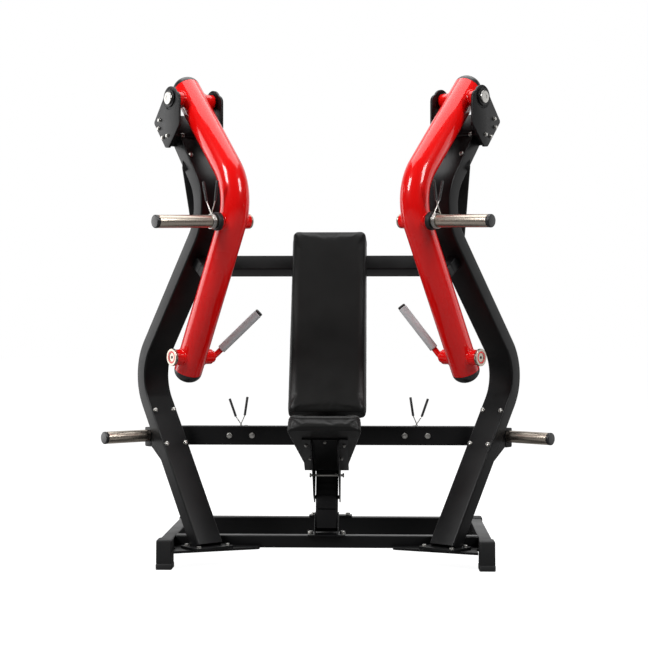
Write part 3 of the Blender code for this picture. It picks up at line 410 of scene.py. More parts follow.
def hex_bolt(place, axis, shrink=1.0):
    """Rings of a hexagon head on its washer. The hexagon's radius is half its flats over the cosine of
    the angle from the nearest flat's middle, and a cone near the top cuts its corners: the lesser wins."""
    axis = unit(axis)
    u, v = square_to(axis)
    angle = np.linspace(0, 2 * math.pi, 36, endpoint=False)
    hexagon = BOLT_FLATS / 2 / np.cos((angle + math.pi / 6) % (math.pi / 3) - math.pi / 6)
    top = WASHER_T + BOLT_HEIGHT
    levels = np.array([(0.0, WASHER_R, WASHER_R), (WASHER_T - 0.0004, WASHER_R, WASHER_R),
                       (WASHER_T, WASHER_R - 0.0004, WASHER_R), (WASHER_T, 0.0108, 0.0),
                       (top - 0.0016, 0.0108, 0.0), (top - 0.0004, 0.0094, 0.0), (top, 0.0086, 0.0)])
    radius = np.maximum(np.minimum(hexagon[None], levels[:, 1:2]), levels[:, 2:3].clip(0, levels[:, 1:2]))
    circle = np.cos(angle + TURN)[:, None] * u + np.sin(angle + TURN)[:, None] * v
    return np.asarray(place) + shrink * (radius[..., None] * circle[None] + levels[:, :1, None] * axis)


def bolted(name, spots, body="root", shrink=1.0):
    """One piece of zinc plated bolts, each at a spot (place, axis)."""
    piece(name, *[hex_bolt(place, axis, shrink) for place, axis in spots], body=body, **zinced, crease=30.0)


# ---------------------------------------------------------------- Main frames
# Two 120 by 60 mm steel tubes bent into an S, standing turned 40 degrees inwards. Each has a
# welded foot flange, a head block that carries the arm's bearings, and a stop for the arm.
FRAME_W, FRAME_D, FRAME_BEND, FRAME_CORNER = 0.120, 0.060, 0.200, 0.007
FRAME_PATH = [(-0.108, 0.080), (0.348, 0.766), (-0.182, 1.435), (0.094, 1.800)]
FLANGE, FLANGE_T = (0.170, 0.130), 0.010
HEAD_HALF, HEAD_D, HEAD_L, HEAD_MID = 0.0960, 0.072, 0.118, (0.060, 1.755)
JOINT_GAP = 0.0003
STOP_LEVEL, STOP_W, STOP_FROM, STOP_TO, BUFFER_W, BUFFER_TO = 1.240, 0.050, 0.018, 0.0805, 0.054, 0.1100
FLANGE_BOLTS, FACE_BOLTS, TOP_BOLTS, LEG_BOLTS = (0.068, 0.045), 0.045, (1.712, 1.630), (0.596, 0.463)


def on_side(hand, points):
    """Points given as (outwards, backwards, up) from the floor under one arm's pivot, in the machine's
    frame: the pivot's place, plus outwards along its axis and backwards square to it."""
    side = -1 if hand == "left" else 1
    hinge = joints[hand + "_arm_swing"]
    out = -side * np.array(hinge["axis"])
    back = np.cross((0, 0, 1), out) * side
    points = np.asarray(points, float)
    base = np.array([*hinge["pos_m"][:2], 0.0])
    return base + points[..., :1] * out + points[..., 1:2] * back + points[..., 2:] * np.array([0, 0, 1.0])


def side_dir(hand, direction):
    """A direction given as (outwards, backwards, up), in the machine's frame."""
    return on_side(hand, np.array([direction], float))[0] - on_side(hand, np.zeros((1, 3)))[0]


def in_side_plane(path):
    """(backwards, up) points as (0, backwards, up)."""
    path = np.asarray(path, float)
    return np.concatenate([np.zeros((len(path), 1)), path], 1)


foot, knee, upper, head = (np.array(p) for p in FRAME_PATH)
lower_run, mid_run, top_run = unit(knee - foot), unit(upper - knee), unit(head - upper)
stop_root = knee + mid_run * (STOP_LEVEL - knee[1]) / mid_run[1]
stop_out = np.array([-mid_run[1], mid_run[0]])


def on_face(hand, start, run, level, out, t):
    """A point and its outward direction on a straight run of the frame, at a level, out from its axis
    (negative is the front face) and a distance t across it."""
    normal = np.array([run[1], -run[0]]) * np.sign(out)
    at = start + run * (level - start[1]) / run[1] + normal * abs(out)
    return on_side(hand, [(t, *at)])[0], side_dir(hand, (0, *normal))


for hand, side in HANDS:
    out = side_dir(hand, (1, 0, 0))
    post_line = on_side(hand, in_side_plane(bent(FRAME_PATH, FRAME_BEND)))
    post = carried(box_section(FRAME_W, FRAME_D, FRAME_CORNER), post_line, out)
    flange = box_section(*FLANGE, 0.008)
    flange_mid = on_side(hand, [(0, foot[0], 0.0805)])[0]
    low_plate = cut_plate(flange, FLANGE_T, flange_mid, out, side_dir(hand, (0, 1, 0)) * side)
    ends = on_side(hand, [(-HEAD_HALF, *HEAD_MID), (HEAD_HALF, *HEAD_MID)])
    block = carried(box_section(HEAD_L, HEAD_D, 0.008), ends, side_dir(hand, (0, *top_run)))
    stop_line = on_side(hand,
                        in_side_plane([stop_root + stop_out * STOP_FROM, stop_root + stop_out * STOP_TO]))
    stop = carried(box_section(STOP_W, STOP_W, 0.005), stop_line, out)
    piece("frame_post_" + hand, post, low_plate, block, stop, stands_for=["side_frame_" + hand],
          **coated)
    buffer_ends = [stop_root + stop_out * (STOP_TO + JOINT_GAP), stop_root + stop_out * BUFFER_TO]
    buffer_line = on_side(hand, in_side_plane(buffer_ends))
    piece("arm_buffer_" + hand, carried(box_section(BUFFER_W, BUFFER_W, 0.012), buffer_line, out, edge=0.004),
          stands_for=["stop_buffer_" + hand], **rubbered)
    spots = [(on_side(hand, [(k * FLANGE_BOLTS[0], foot[0] + m * FLANGE_BOLTS[1], 0.0855)])[0], (0, 0, 1))
             for k in (-1, 1) for m in (-1, 1)]
    for start, run_up, levels in ((upper, top_run, TOP_BOLTS), (foot, lower_run, LEG_BOLTS)):
        spots += [on_face(hand, start, run_up, level, -FRAME_D / 2, k * FACE_BOLTS)
                  for level in levels for k in (-1, 1)]
    bolted("frame_bolts_" + hand, spots, shrink=0.8)


# ---------------------------------------------------------------- Middle crossbar
# A flat bar of rectangular tube across the back, both ends bent to run behind the frames, where
# wedge brackets bolt it on. The side storage horns are plugged into its open ends.
CROSS_H, CROSS_D, CROSS_Z, CROSS_MID_Y, CROSS_BEND = 0.080, 0.045, 0.500, 0.180, 0.150
CROSS_END_BACK, CROSS_END_OUT, WEDGE_W, WEDGE_HALF, CROSS_BOLTS = 0.258, 0.052, 0.100, 0.085, (0.321, 0.417)

outer_end = on_side("right", [(CROSS_END_OUT, CROSS_END_BACK, CROSS_Z)])[0]
inner_end = on_side("right", [(0.0, CROSS_END_BACK, CROSS_Z)])[0]
run = unit(inner_end - outer_end)
elbow = outer_end + run * (CROSS_MID_Y - outer_end[1]) / run[1]
mirror = np.array([-1, 1, 1])
bar_path = bent([outer_end, elbow, elbow * mirror, outer_end * mirror], CROSS_BEND)
bar = carried(box_section(CROSS_H, CROSS_D, 0.006), bar_path, (0, 0, 1))
brackets = []
lean_back = np.array([lower_run[1], -lower_run[0]])
on_back = foot + lower_run * (CROSS_Z - foot[1]) / lower_run[1] + lean_back * (FRAME_D / 2 + JOINT_GAP)
low_end, high_end = on_back - lower_run * WEDGE_HALF, on_back + lower_run * WEDGE_HALF
bar_face = CROSS_END_BACK - CROSS_D / 2 + 0.002
wedge = rounded([low_end, high_end, high_end + lean_back * 0.008, (bar_face, CROSS_Z + CROSS_H / 2 - 0.004),
                 (bar_face, CROSS_Z - CROSS_H / 2 + 0.004), low_end + lean_back * 0.008], 0.001, steps=2)
for hand, side in HANDS:
    place = on_side(hand, [(0, 0, 0)])[0]
    brackets.append(cut_plate(wedge, WEDGE_W, place, side_dir(hand, (0, 1, 0)), np.array([0, 0, 1.0])))
piece("cross_bar", bar, *brackets, stands_for=["middle_crossbar"], **coated)
bolted("cross_bar_bolts", [((k * x, CROSS_MID_Y - CROSS_D / 2, CROSS_Z), (0, -1, 0))
                           for x in CROSS_BOLTS for k in (-1, 1)])


# ---------------------------------------------------------------- Storage horns
# Fifty millimetre tubes in brushed nickel that hold spare plates: one out to each side and two
# back from the crossbar on bolted flanges. A black plastic plug closes each open end.
HORN_R, PLUG_LENGTH = 0.025, 0.014
SIDE_HORN = (0.052, 0.262)

brushing, given, result = group("brushing", {"Vector": None, "Scale": 60.0}, ("Streak",))
stretched = node(brushing, "ShaderNodeMapping", {"Vector": given.outputs["Vector"],
                                                 "Scale": (18.0, 0.8, 1.0)})
lines = node(brushing, "ShaderNodeTexNoise", {"Vector": stretched.outputs[0], "Scale": given.outputs["Scale"],
                                              "Detail": 5.0, "Roughness": 0.7})
brushing.links.new(lines.outputs["Fac"], result.inputs["Streak"])


def brushed_metal(name, dark, light, rough, scale, relief):
    """A metal turned with fine rings: streaks along the UV's second axis drive colour, roughness and bump."""
    made, tree = bare_material(name)
    where = node(tree, "ShaderNodeTexCoord")
    streaks = node(tree, "ShaderNodeGroup", node_tree=brushing)
    tree.links.new(where.outputs["UV"], streaks.inputs["Vector"])
    streaks.inputs["Scale"].default_value = scale
    colour = node(tree, "ShaderNodeMix", {0: streaks.outputs[0], 6: (*dark, 1.0), 7: (*light, 1.0)},
                  data_type="RGBA")
    rougher = node(tree, "ShaderNodeMapRange", {"Value": streaks.outputs[0], "From Min": 0.3, "From Max": 0.7,
                                                "To Min": rough[0], "To Max": rough[1]})
    bump = node(tree, "ShaderNodeBump", {"Height": streaks.outputs[0], "Strength": 1.0, "Distance": relief})
    shader = node(tree, "ShaderNodeBsdfPrincipled",
                  {"Base Color": colour.outputs[2], "Metallic": 1.0, "Roughness": rougher.outputs[0],
                   "Normal": bump.outputs[0]})
    node(tree, "ShaderNodeOutputMaterial", {"Surface": shader.outputs[0]})
    return made


nickel = brushed_metal("brushed_nickel", (0.36, 0.31, 0.26), (0.54, 0.48, 0.41), (0.24, 0.34), 60.0, 0.000012)
plated = {"slot": "satin_chrome", "material": nickel}
moulded = finish("moulded_plastic", (0.0060, 0.0060, 0.0064), (0.0090, 0.0090, 0.0095), (0.30, 0.38), 1400.0,
                 0.00005)
plastic = {"slot": "black_plastic", "material": moulded}


def turned(profile, place, axis, sides=64):
    """Rings of a turned solid: each profile point (radius, height along the axis) swept round the axis."""
    profile, axis = np.asarray(profile, float), unit(axis)
    u, v = square_to(axis)
    angle = np.linspace(0, 2 * math.pi, sides, endpoint=False)
    circle = np.cos(angle)[:, None] * u + np.sin(angle)[:, None] * v
    return np.asarray(place) + profile[:, None, :1] * circle + profile[:, None, 1:] * axis


def rod_profile(radius, start, end, edge=0.002):
    """Profile of a round bar with rounded ends, from its start to its end along the axis."""
    angle = np.linspace(0, math.pi / 2, 6)
    rise, run_in = edge * (1 - np.sin(angle)), edge * (1 - np.cos(angle))
    near = np.stack([radius - rise, start + run_in], 1)
    far = np.stack([radius - rise, end - run_in], 1)[::-1]
    return np.concatenate([[(0.0, start)], near, far, [(0.0, end)]])


def horn(name, place, axis, start, end, body, cad_node):
    """A horn's tube up to its plug, and the plug as a piece of its own."""
    piece(name, turned(rod_profile(HORN_R, start, end - PLUG_LENGTH, 0.0006), place, axis),
          body=body, stands_for=[cad_node], **plated)
    piece(name + "_plug", turned(rod_profile(HORN_R + 0.0004, end - PLUG_LENGTH + 0.0002, end, 0.004), place,
                                 axis),
          body=body, **plastic)


for hand, side in HANDS:
    start = on_side(hand, [(0, CROSS_END_BACK, CROSS_Z + 0.005)])[0]
    horn("side_horn_" + hand, start, side_dir(hand, (1, 0, 0)), *SIDE_HORN, "root",
         "side_storage_horn_" + hand)
    low, high = corners_of("rear_storage_horn_" + hand)
    root = np.array([(low[0] + high[0]) / 2, low[1], CROSS_Z])
    horn("rear_horn_" + hand, root, (0, 1, 0), 0.006, high[1] - low[1], "root", "rear_storage_horn_" + hand)
    flange = box_section(0.136, 0.070, 0.008)
    piece("rear_horn_flange_" + hand, cut_plate(flange, 0.008, root + (0, 0.004, 0), (1, 0, 0), (0, 0, 1)),
          **coated)
    bolted("rear_horn_nuts_" + hand, [(root + (k * 0.048, 0.008, 0), (0, 1, 0)) for k in (-1, 1)])


# ---------------------------------------------------------------- Upper crossbar and rear struts
# A square tube behind the backrest's top, set at the backrest's lean, and a square strut from
# each of its ends up to the back of a main frame.
BACK_FOOT, BACK_HEAD = np.array([-0.053, 0.609]), np.array([0.359, 1.382])
SPINE_FOOT, SPINE_TOP, UPPER_BAR = np.array([-0.059, 0.114]), np.array([0.410, 1.221]), 0.070
STRUT_X, STRUT_W, STRUT_HEAD = 0.545, 0.060, (-0.170, 1.630)
back_run = unit(BACK_HEAD - BACK_FOOT)
back_out = np.array([back_run[1], -back_run[0]])


def mid_plane(point, x=0.0):
    """A (back, up) point of the machine's middle plane, moved sideways to x."""
    return np.array([x, point[0], point[1]])


bar_half = (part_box("upper_crossbar")[1].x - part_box("upper_crossbar")[0].x) / 2
bar_ends = [mid_plane(SPINE_TOP, -bar_half), mid_plane(SPINE_TOP, bar_half)]
rings = carried(box_section(UPPER_BAR, UPPER_BAR, 0.006), bar_ends, mid_plane(back_run))
piece("upper_bar", rings, stands_for=["upper_crossbar"], **coated)
for hand, side in HANDS:
    low_end, high_end = mid_plane(SPINE_TOP, side * STRUT_X), np.array([side * STRUT_X, *STRUT_HEAD])
    direction = unit(high_end - low_end)
    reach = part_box("rear_strut_" + hand)
    line = [low_end + direction * 0.030,
            low_end + direction * ((reach[1].z - low_end[2]) / direction[2] - 0.012)]
    piece("strut_" + hand, carried(box_section(STRUT_W, STRUT_W, 0.006), line, (1, 0, 0)),
          stands_for=["rear_strut_" + hand], **coated)


# ---------------------------------------------------------------- Spine and rear brace
# The bench's rectangular spine leans back from the front beam to the upper crossbar. A folded
# foot bracket holds it down, a toothed rack runs up its face and a brace props it from behind.
SPINE_W, SPINE_D, BRACE_AT = 0.090, 0.060, 0.66
SHOE, SHOE_T, EAR_T = (0.152, 0.100), 0.006, 0.004
EAR_CORNERS = [(-0.105, 0.118), (-0.013, 0.118), (0.012, 0.200), (-0.060, 0.200)]
BRACE, BRACE_PAD, BRACE_PAD_T = (0.060, 0.040), (0.190, 0.050), 0.008
RACK_FOOT, RACK_PITCH, RACK_TEETH, RACK_BASE, RACK_CREST, RACK_W = 0.100, 0.026, 10, 0.006, 0.016, 0.076
spine_run = unit(SPINE_TOP - SPINE_FOOT)
spine_out = np.array([-spine_run[1], spine_run[0]])


def on_spine(up, out):
    """(back, up) of a point a distance up the spine and out in front of its axis."""
    return SPINE_FOOT + spine_run * up + spine_out * out


length = float(np.linalg.norm(SPINE_TOP - SPINE_FOOT))
spine_ends = [mid_plane(on_spine(0.020, 0)), mid_plane(on_spine(length, 0))]
rings = carried(box_section(SPINE_W, SPINE_D, 0.006), spine_ends, (1, 0, 0))
piece("spine_tube", rings, stands_for=["spine"], **coated)

base_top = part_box("spine_foot")[0].z
shoe_mid = (0, SPINE_FOOT[0], base_top + SHOE_T / 2)
shoe = cut_plate(box_section(*SHOE, 0.010), SHOE_T, shoe_mid, (1, 0, 0), (0, 1, 0))
ears = [cut_plate(rounded(EAR_CORNERS, [0.001, 0.001, 0.010, 0.010]), EAR_T,
                  (k * (SPINE_W / 2 + JOINT_GAP + EAR_T / 2), 0, 0), (0, 1, 0), (0, 0, 1)) for k in (-1, 1)]
bolted("spine_foot_bolts", [((k * 0.0645, SPINE_FOOT[0], base_top + SHOE_T), (0, 0, 1)) for k in (-1, 1)])
piece("spine_shoe", shoe, *ears, stands_for=["spine_foot"], **coated)

face = SPINE_D / 2 + JOINT_GAP
teeth = [on_spine(RACK_FOOT, face)]
for k in range(RACK_TEETH):
    low = RACK_FOOT + k * RACK_PITCH
    teeth += [on_spine(low, face + RACK_BASE), on_spine(low + RACK_PITCH, face + RACK_CREST)]
teeth.append(on_spine(RACK_FOOT + RACK_TEETH * RACK_PITCH, face))
rack = cut_plate(rounded(teeth, 0.0008, steps=3), RACK_W, (0, 0, 0), (0, 1, 0), (0, 0, 1), edge=0.0008)
piece("height_rack", rack, stands_for=["seat_rack"], **coated)

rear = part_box("rear_beam")
brace_foot = mid_plane(((rear[0].y + rear[1].y) / 2 - 0.010, rear[1].z))
brace_line = [brace_foot, mid_plane(on_spine(BRACE_AT, -0.028))]
brace = carried(box_section(*BRACE, 0.005), brace_line, (1, 0, 0))
pad_mid = brace_foot + (0, 0.010, BRACE_PAD_T / 2 + JOINT_GAP)
pad = cut_plate(box_section(*BRACE_PAD, 0.006), BRACE_PAD_T, pad_mid, (1, 0, 0), (0, 1, 0))
bolted("brace_bolts",
       [(brace_foot + (k * 0.076, 0.010, BRACE_PAD_T + JOINT_GAP), (0, 0, 1)) for k in (-1, 1)])
piece("spine_brace", brace, pad, stands_for=["rear_brace"], **coated)

BACK_T, RAIL_W, RAIL_T, RAIL_SPAN, POST_LEVELS, POST_H = 0.067, 0.060, 0.017, (0.090, 0.790), (0.130,
                                                                                               0.430), 0.050
rail_mid = BACK_FOOT + back_out * (BACK_T + JOINT_GAP + RAIL_T / 2)
rail = carried(box_section(RAIL_W, RAIL_T, 0.003), [mid_plane(rail_mid + back_run * up) for up in RAIL_SPAN],
               (1, 0, 0))
posts = []
for level in POST_LEVELS:
    start = rail_mid + back_run * level
    gap = float((on_spine(0, face) - start) @ spine_out / (back_out @ spine_out))
    posts.append(carried(box_section(RAIL_W, POST_H, 0.003),
                         [mid_plane(start), mid_plane(start + back_out * (gap + 0.004))], (1, 0, 0)))
piece("back_rail", rail, *posts, stands_for=["backrest_bracket"], **coated)


# ---------------------------------------------------------------- Seat carriage and latch
# Two cheek plates under a tray straddle the spine and slide on cross bars. A cross pin with turned
# knobs stands pulled forward in its slots, clear of the rack, and drops back into a tooth to lock.
SEAT_FRONT, SEAT_REAR = np.array([-0.376, 0.5645]), np.array([-0.020, 0.3765])
LATCH_R, LATCH_HALF, KNOB_R, KNOB_SPAN = 0.005, 0.068, 0.009, (0.064, 0.071)
SCREWS = [(0.35, 0.075), (0.35, -0.075), (0.68, 0.062), (0.68, -0.062), (0.27, 0.0)]
seat_run = unit(SEAT_REAR - SEAT_FRONT)
seat_down = np.array([seat_run[1], -seat_run[0]])
for coat in frame["nodes"]["seat_carriage"].material_slots:
    coat.material = powder_coat
spots = []
for along, x in SCREWS:
    at = SEAT_FRONT + (SEAT_REAR - SEAT_FRONT) * along + seat_down * 0.0063
    spots.append((mid_plane(at, x), mid_plane(seat_down)))
bolted("seat_screws", spots, body="seat", shrink=0.6)

latch_low, latch_high = corners_of("seat_latch")
latch_mid = (latch_low + latch_high) / 2
knob = rod_profile(KNOB_R, *KNOB_SPAN, 0.001)
knobs = [turned(knob, latch_mid, (k, 0, 0), 40) for k in (-1, 1)]
pin = turned(rod_profile(LATCH_R, -LATCH_HALF, LATCH_HALF), latch_mid, (1, 0, 0), 32)
piece("latch_pin", pin, *knobs, body="latch",
      stands_for=["seat_latch"], **zinced)


# ---------------------------------------------------------------- Backrest and seat cushions
# Dense foam on plywood under black grained vinyl, firm and only slightly crowned. The vinyl is
# drawn down over the edges, sewn to a side band along a pressed seam, and stapled behind.
BACK_HALF, SEAT_T, SEAT_FRONT_HALF, SEAT_REAR_HALF = 0.165, 0.075, 0.153, 0.087
VOXEL, SLACK, BOARD, SEAM_WIDE, SEAM_DEEP = 0.006, 0.003, 0.006, 0.0035, 0.0016
BACK_CROWN, BACK_CAP, BACK_SEAM, SEAT_CROWN, SEAT_CAP, SEAT_SEAM = 0.016, 0.005, 0.046, 0.022, 0.006, 0.050

vinyl = finish("black_vinyl", (0.0038, 0.0038, 0.0036), (0.0054, 0.0054, 0.0051), (0.38, 0.46), 520.0,
               0.00014,
               Specular_IOR_Level=0.22)


def shown_mesh(obj):
    """The mesh an object shows once its modifiers are applied, which are then taken off it."""
    mesh = bpy.data.meshes.new_from_object(obj.evaluated_get(bpy.context.evaluated_depsgraph_get()))
    obj.modifiers.clear()
    return mesh


def stuffed(name, outline, thickness, foot, first, second, crown, cap, seam, body, cad_node):
    """A cushion. A foam block just under its size is blown up as cloth with its back held on the board, and
    each point's move is drawn back to cap times tanh(move / cap). Along the sides a seam is then pressed in
    by its depth times exp(-(distance from the seam / width) squared)."""
    first, second = np.asarray(first, float), np.asarray(second, float)
    normal = np.cross(first, second)
    levels = np.concatenate([edge_arc(thickness - SLACK, crown, 8),
                             [(0.006, 0.0), (0.002, 0.002), (0.0, 0.006)]])
    cushion = piece(name, layered(outline, levels, foot, first, second), body=body, stands_for=[cad_node],
                    slot="black_vinyl", material=vinyl)
    remesh = cushion.modifiers.new("voxels", "REMESH")
    remesh.mode, remesh.voxel_size = "VOXEL", VOXEL
    cushion.data = shown_mesh(cushion)
    count = len(cushion.data.vertices)
    rest = np.empty(count * 3)
    cushion.data.vertices.foreach_get("co", rest)
    rest = rest.reshape(-1, 3)
    height = (rest - foot) @ normal
    moved = rest.copy()
    held = cushion.vertex_groups.new(name="board")
    held.add(np.flatnonzero(height < BOARD).tolist(), 1.0, "REPLACE")
    cloth = cushion.modifiers.new("stuffing", "CLOTH")
    cloth.settings.use_pressure = True
    cloth.settings.uniform_pressure_force = 4.0
    cloth.settings.vertex_group_mass = "board"
    cloth.settings.effector_weights.gravity = 0.0
    for step in range(1, 21):
        bpy.context.scene.frame_set(step)
    blown = shown_mesh(cushion)
    moved = np.empty(count * 3)
    blown.vertices.foreach_get("co", moved)
    moved = moved.reshape(-1, 3)
    bpy.context.scene.frame_set(1)
    cushion.vertex_groups.clear()
    move = moved - rest
    reach = np.linalg.norm(move, axis=1, keepdims=True).clip(1e-9)
    moved = rest + move / reach * cap * np.tanh(reach / cap)
    turn = np.empty(count * 3)
    cushion.data.vertices.foreach_get("normal", turn)
    turn = turn.reshape(-1, 3)
    sideways = turn - (turn @ normal)[:, None] * normal
    press = SEAM_DEEP * np.exp(-((height - seam) / SEAM_WIDE) ** 2)
    moved -= sideways * press[:, None]
    cushion.data.vertices.foreach_set("co", moved.ravel())
    cushion.data.shade_smooth()
    smoother = cushion.modifiers.new("smoother", "SUBSURF")
    smoother.levels = smoother.render_levels = 1
    return cushion


half, length = BACK_HALF - SLACK, float(np.linalg.norm(BACK_HEAD - BACK_FOOT))
back_outline = rounded([(-half, SLACK), (half, SLACK), (half, length - SLACK), (-half, length - SLACK)],
                       0.028, 8)
stuffed("backrest_cushion", back_outline, BACK_T, mid_plane(BACK_FOOT + back_out * BACK_T), (1, 0, 0),
        mid_plane(back_run), BACK_CROWN, BACK_CAP, BACK_SEAM, "root", "backrest_pad")
length = float(np.linalg.norm(SEAT_REAR - SEAT_FRONT))
near, far = SEAT_FRONT_HALF - SLACK, SEAT_REAR_HALF - SLACK
seat_outline = rounded([(-near, SLACK), (near, SLACK), (far, length - SLACK), (-far, length - SLACK)],
                       [0.028, 0.028, 0.020, 0.020], 8)
stuffed("seat_cushion", seat_outline, SEAT_T, mid_plane(SEAT_FRONT), (1, 0, 0), mid_plane(seat_run),
        SEAT_CROWN,
        SEAT_CAP, SEAT_SEAM, "seat", "seat_pad")


# ---------------------------------------------------------------- Pivot plates and pins
# Each arm hangs between two ten millimetre plates bolted to the ends of the head block. A zinc
# pin runs through both, and its large flat heads sit on black washers.
PIVOT_Z, PLATE_T, EAR_FACE = joints["left_arm_swing"]["pos_m"][2], 0.010, 0.0969
CROWN_R, BOSS_R, BOSS_T, PIN_R = 0.048, 0.035, 0.005, 0.015
ear_corners = [(-0.067, 0.012), (-0.067, -0.112), (0.010, -0.197), (0.034, -0.195), (0.121, -0.088),
               (0.012, 0.052)]
ear_outline = rounded([(y, PIVOT_Z + z) for y, z in ear_corners], [0.030, 0.020, 0.008, 0.010, 0.012, 0.020])
EAR_BOLTS = [(0.078, 1.795), (0.084, 1.762), (0.052, 1.722), (0.018, 1.727)]
for hand, side in HANDS:
    out = side_dir(hand, (1, 0, 0))
    place = on_side(hand, [(0, 0, 0)])[0]
    pivot = on_side(hand, [(0, 0, PIVOT_Z)])[0]
    back = side_dir(hand, (0, 1, 0))
    plate_face = EAR_FACE + PLATE_T
    for label, k in (("outer", 1), ("inner", -1)):
        middle = place + out * k * (EAR_FACE + PLATE_T / 2)
        ear = cut_plate(ear_outline, PLATE_T, middle, back, np.array([0, 0, 1.0]))
        crown = turned(rod_profile(CROWN_R, EAR_FACE, plate_face, 0.001), pivot, out * k)
        washer = turned(rod_profile(BOSS_R, plate_face - 0.001, plate_face + BOSS_T, 0.0015), pivot, out * k)
        piece(f"bearing_plate_{label}_{hand}", ear, crown, washer, stands_for=[f"pivot_plate_{label}_{hand}"],
              **coated)
        spots = [(on_side(hand, [(k * plate_face, *at)])[0], out * k) for at in EAR_BOLTS]
        bolted(f"bearing_bolts_{label}_{hand}", spots, shrink=0.7)
    head_face = plate_face + BOSS_T + JOINT_GAP
    pin_head = np.array([(0.0, head_face + 0.005), (0.011, head_face + 0.005), (0.012, head_face + 0.0062),
                         (0.0225, head_face + 0.0068), (0.0245, head_face + 0.0062), (0.025,
                                                                                      head_face + 0.005),
                         (0.025, head_face), (0.0, head_face)])
    heads = [turned(pin_head, pivot, out * k) for k in (-1, 1)]
    piece("arm_pin_" + hand, turned(rod_profile(PIN_R, -head_face - 0.001, head_face + 0.001), pivot, out),
          *heads,
          stands_for=["pivot_pin_" + hand], **zinced)


# ---------------------------------------------------------------- Swinging arms
# Round 114 mm steel tube with one long bend, in gloss red. Three cross housings are welded
# through it: the pivot's, the horn's and the handle's. Black domed plastic caps close its ends.
ARM_R, ARM_BEND, ARM_OVERHANG = 0.057, 0.200, 0.064
ARM_VERTEX, SWIVEL_Z = np.array([-0.344, 1.479]), joints["left_handle_swivel"]["pos_m"][2]
HORN_AT, HORN_TIP, HORN_FALL = np.array([-0.285, 1.372]), 0.356, 0.040
CAP_DOME = 0.046

gloss_red = finish("gloss_red", (0.68, 0.0022, 0.0020), (0.74, 0.0032, 0.0028), (0.26, 0.30), 160.0, 0.00003,
                   Specular_IOR_Level=0.10, Coat_Weight=0.70, Coat_Roughness=0.06)
painted = {"slot": "red_gloss_paint", "material": gloss_red}
bronze = finish("bearing_bronze", (0.42, 0.24, 0.10), (0.50, 0.30, 0.14), (0.30, 0.40), 900.0, 0.00002,
                Metallic=1.0)
pivot_point, swivel_point = np.array([0, PIVOT_Z]), np.array([0, SWIVEL_Z])
arm_top = pivot_point + unit(pivot_point - ARM_VERTEX) * ARM_OVERHANG
arm_bottom = swivel_point + unit(swivel_point - ARM_VERTEX) * ARM_OVERHANG
arm_line = bent([arm_top, ARM_VERTEX, arm_bottom], ARM_BEND, steps=40)
around = np.linspace(0, 2 * math.pi, 96, endpoint=False)
ring = np.stack([np.cos(around), np.sin(around)], 1)


def weld_bead(hand, centre, arm_axis, radius, way, fall):
    """The bead where a round housing leaves the round arm: along the housing's circle the arm's surface
    lies the root of (arm radius squared less the offset across the arm squared) from the middle, and a
    housing that falls outwards takes its bead down with it."""
    angle = np.linspace(0, 2 * math.pi, 73)
    square = np.array([arm_axis[1], -arm_axis[0]])
    offset = radius * np.stack([np.cos(angle), np.sin(angle)], 1)
    rise = np.sqrt(ARM_R ** 2 - (offset @ square) ** 2)
    path = np.concatenate([(way * rise)[:, None], centre + offset], 1)
    path[:, 2] -= fall * path[:, 0]
    outward = np.concatenate([np.full((len(angle), 1), way * 0.6), offset / radius], 1)
    path = on_side(hand, path)
    lift = on_side(hand, outward) - on_side(hand, np.zeros((1, 3)))
    tangent = unit(np.roll(path[:-1], -1, 0) - np.roll(path[:-1], 1, 0))
    first = unit(lift[:-1])
    second = np.cross(tangent, first)
    round_it = np.stack([np.cos(around[::8]), np.sin(around[::8])], 1) * 0.0045
    ripple = 1 + 0.10 * np.sin(np.arange(72) * 2 * math.pi / 3)[:, None, None]
    swelling = round_it[None, :, :1] * first[:, None] * ripple
    return path[:-1, None] + swelling + round_it[None, :, 1:] * second[:, None]


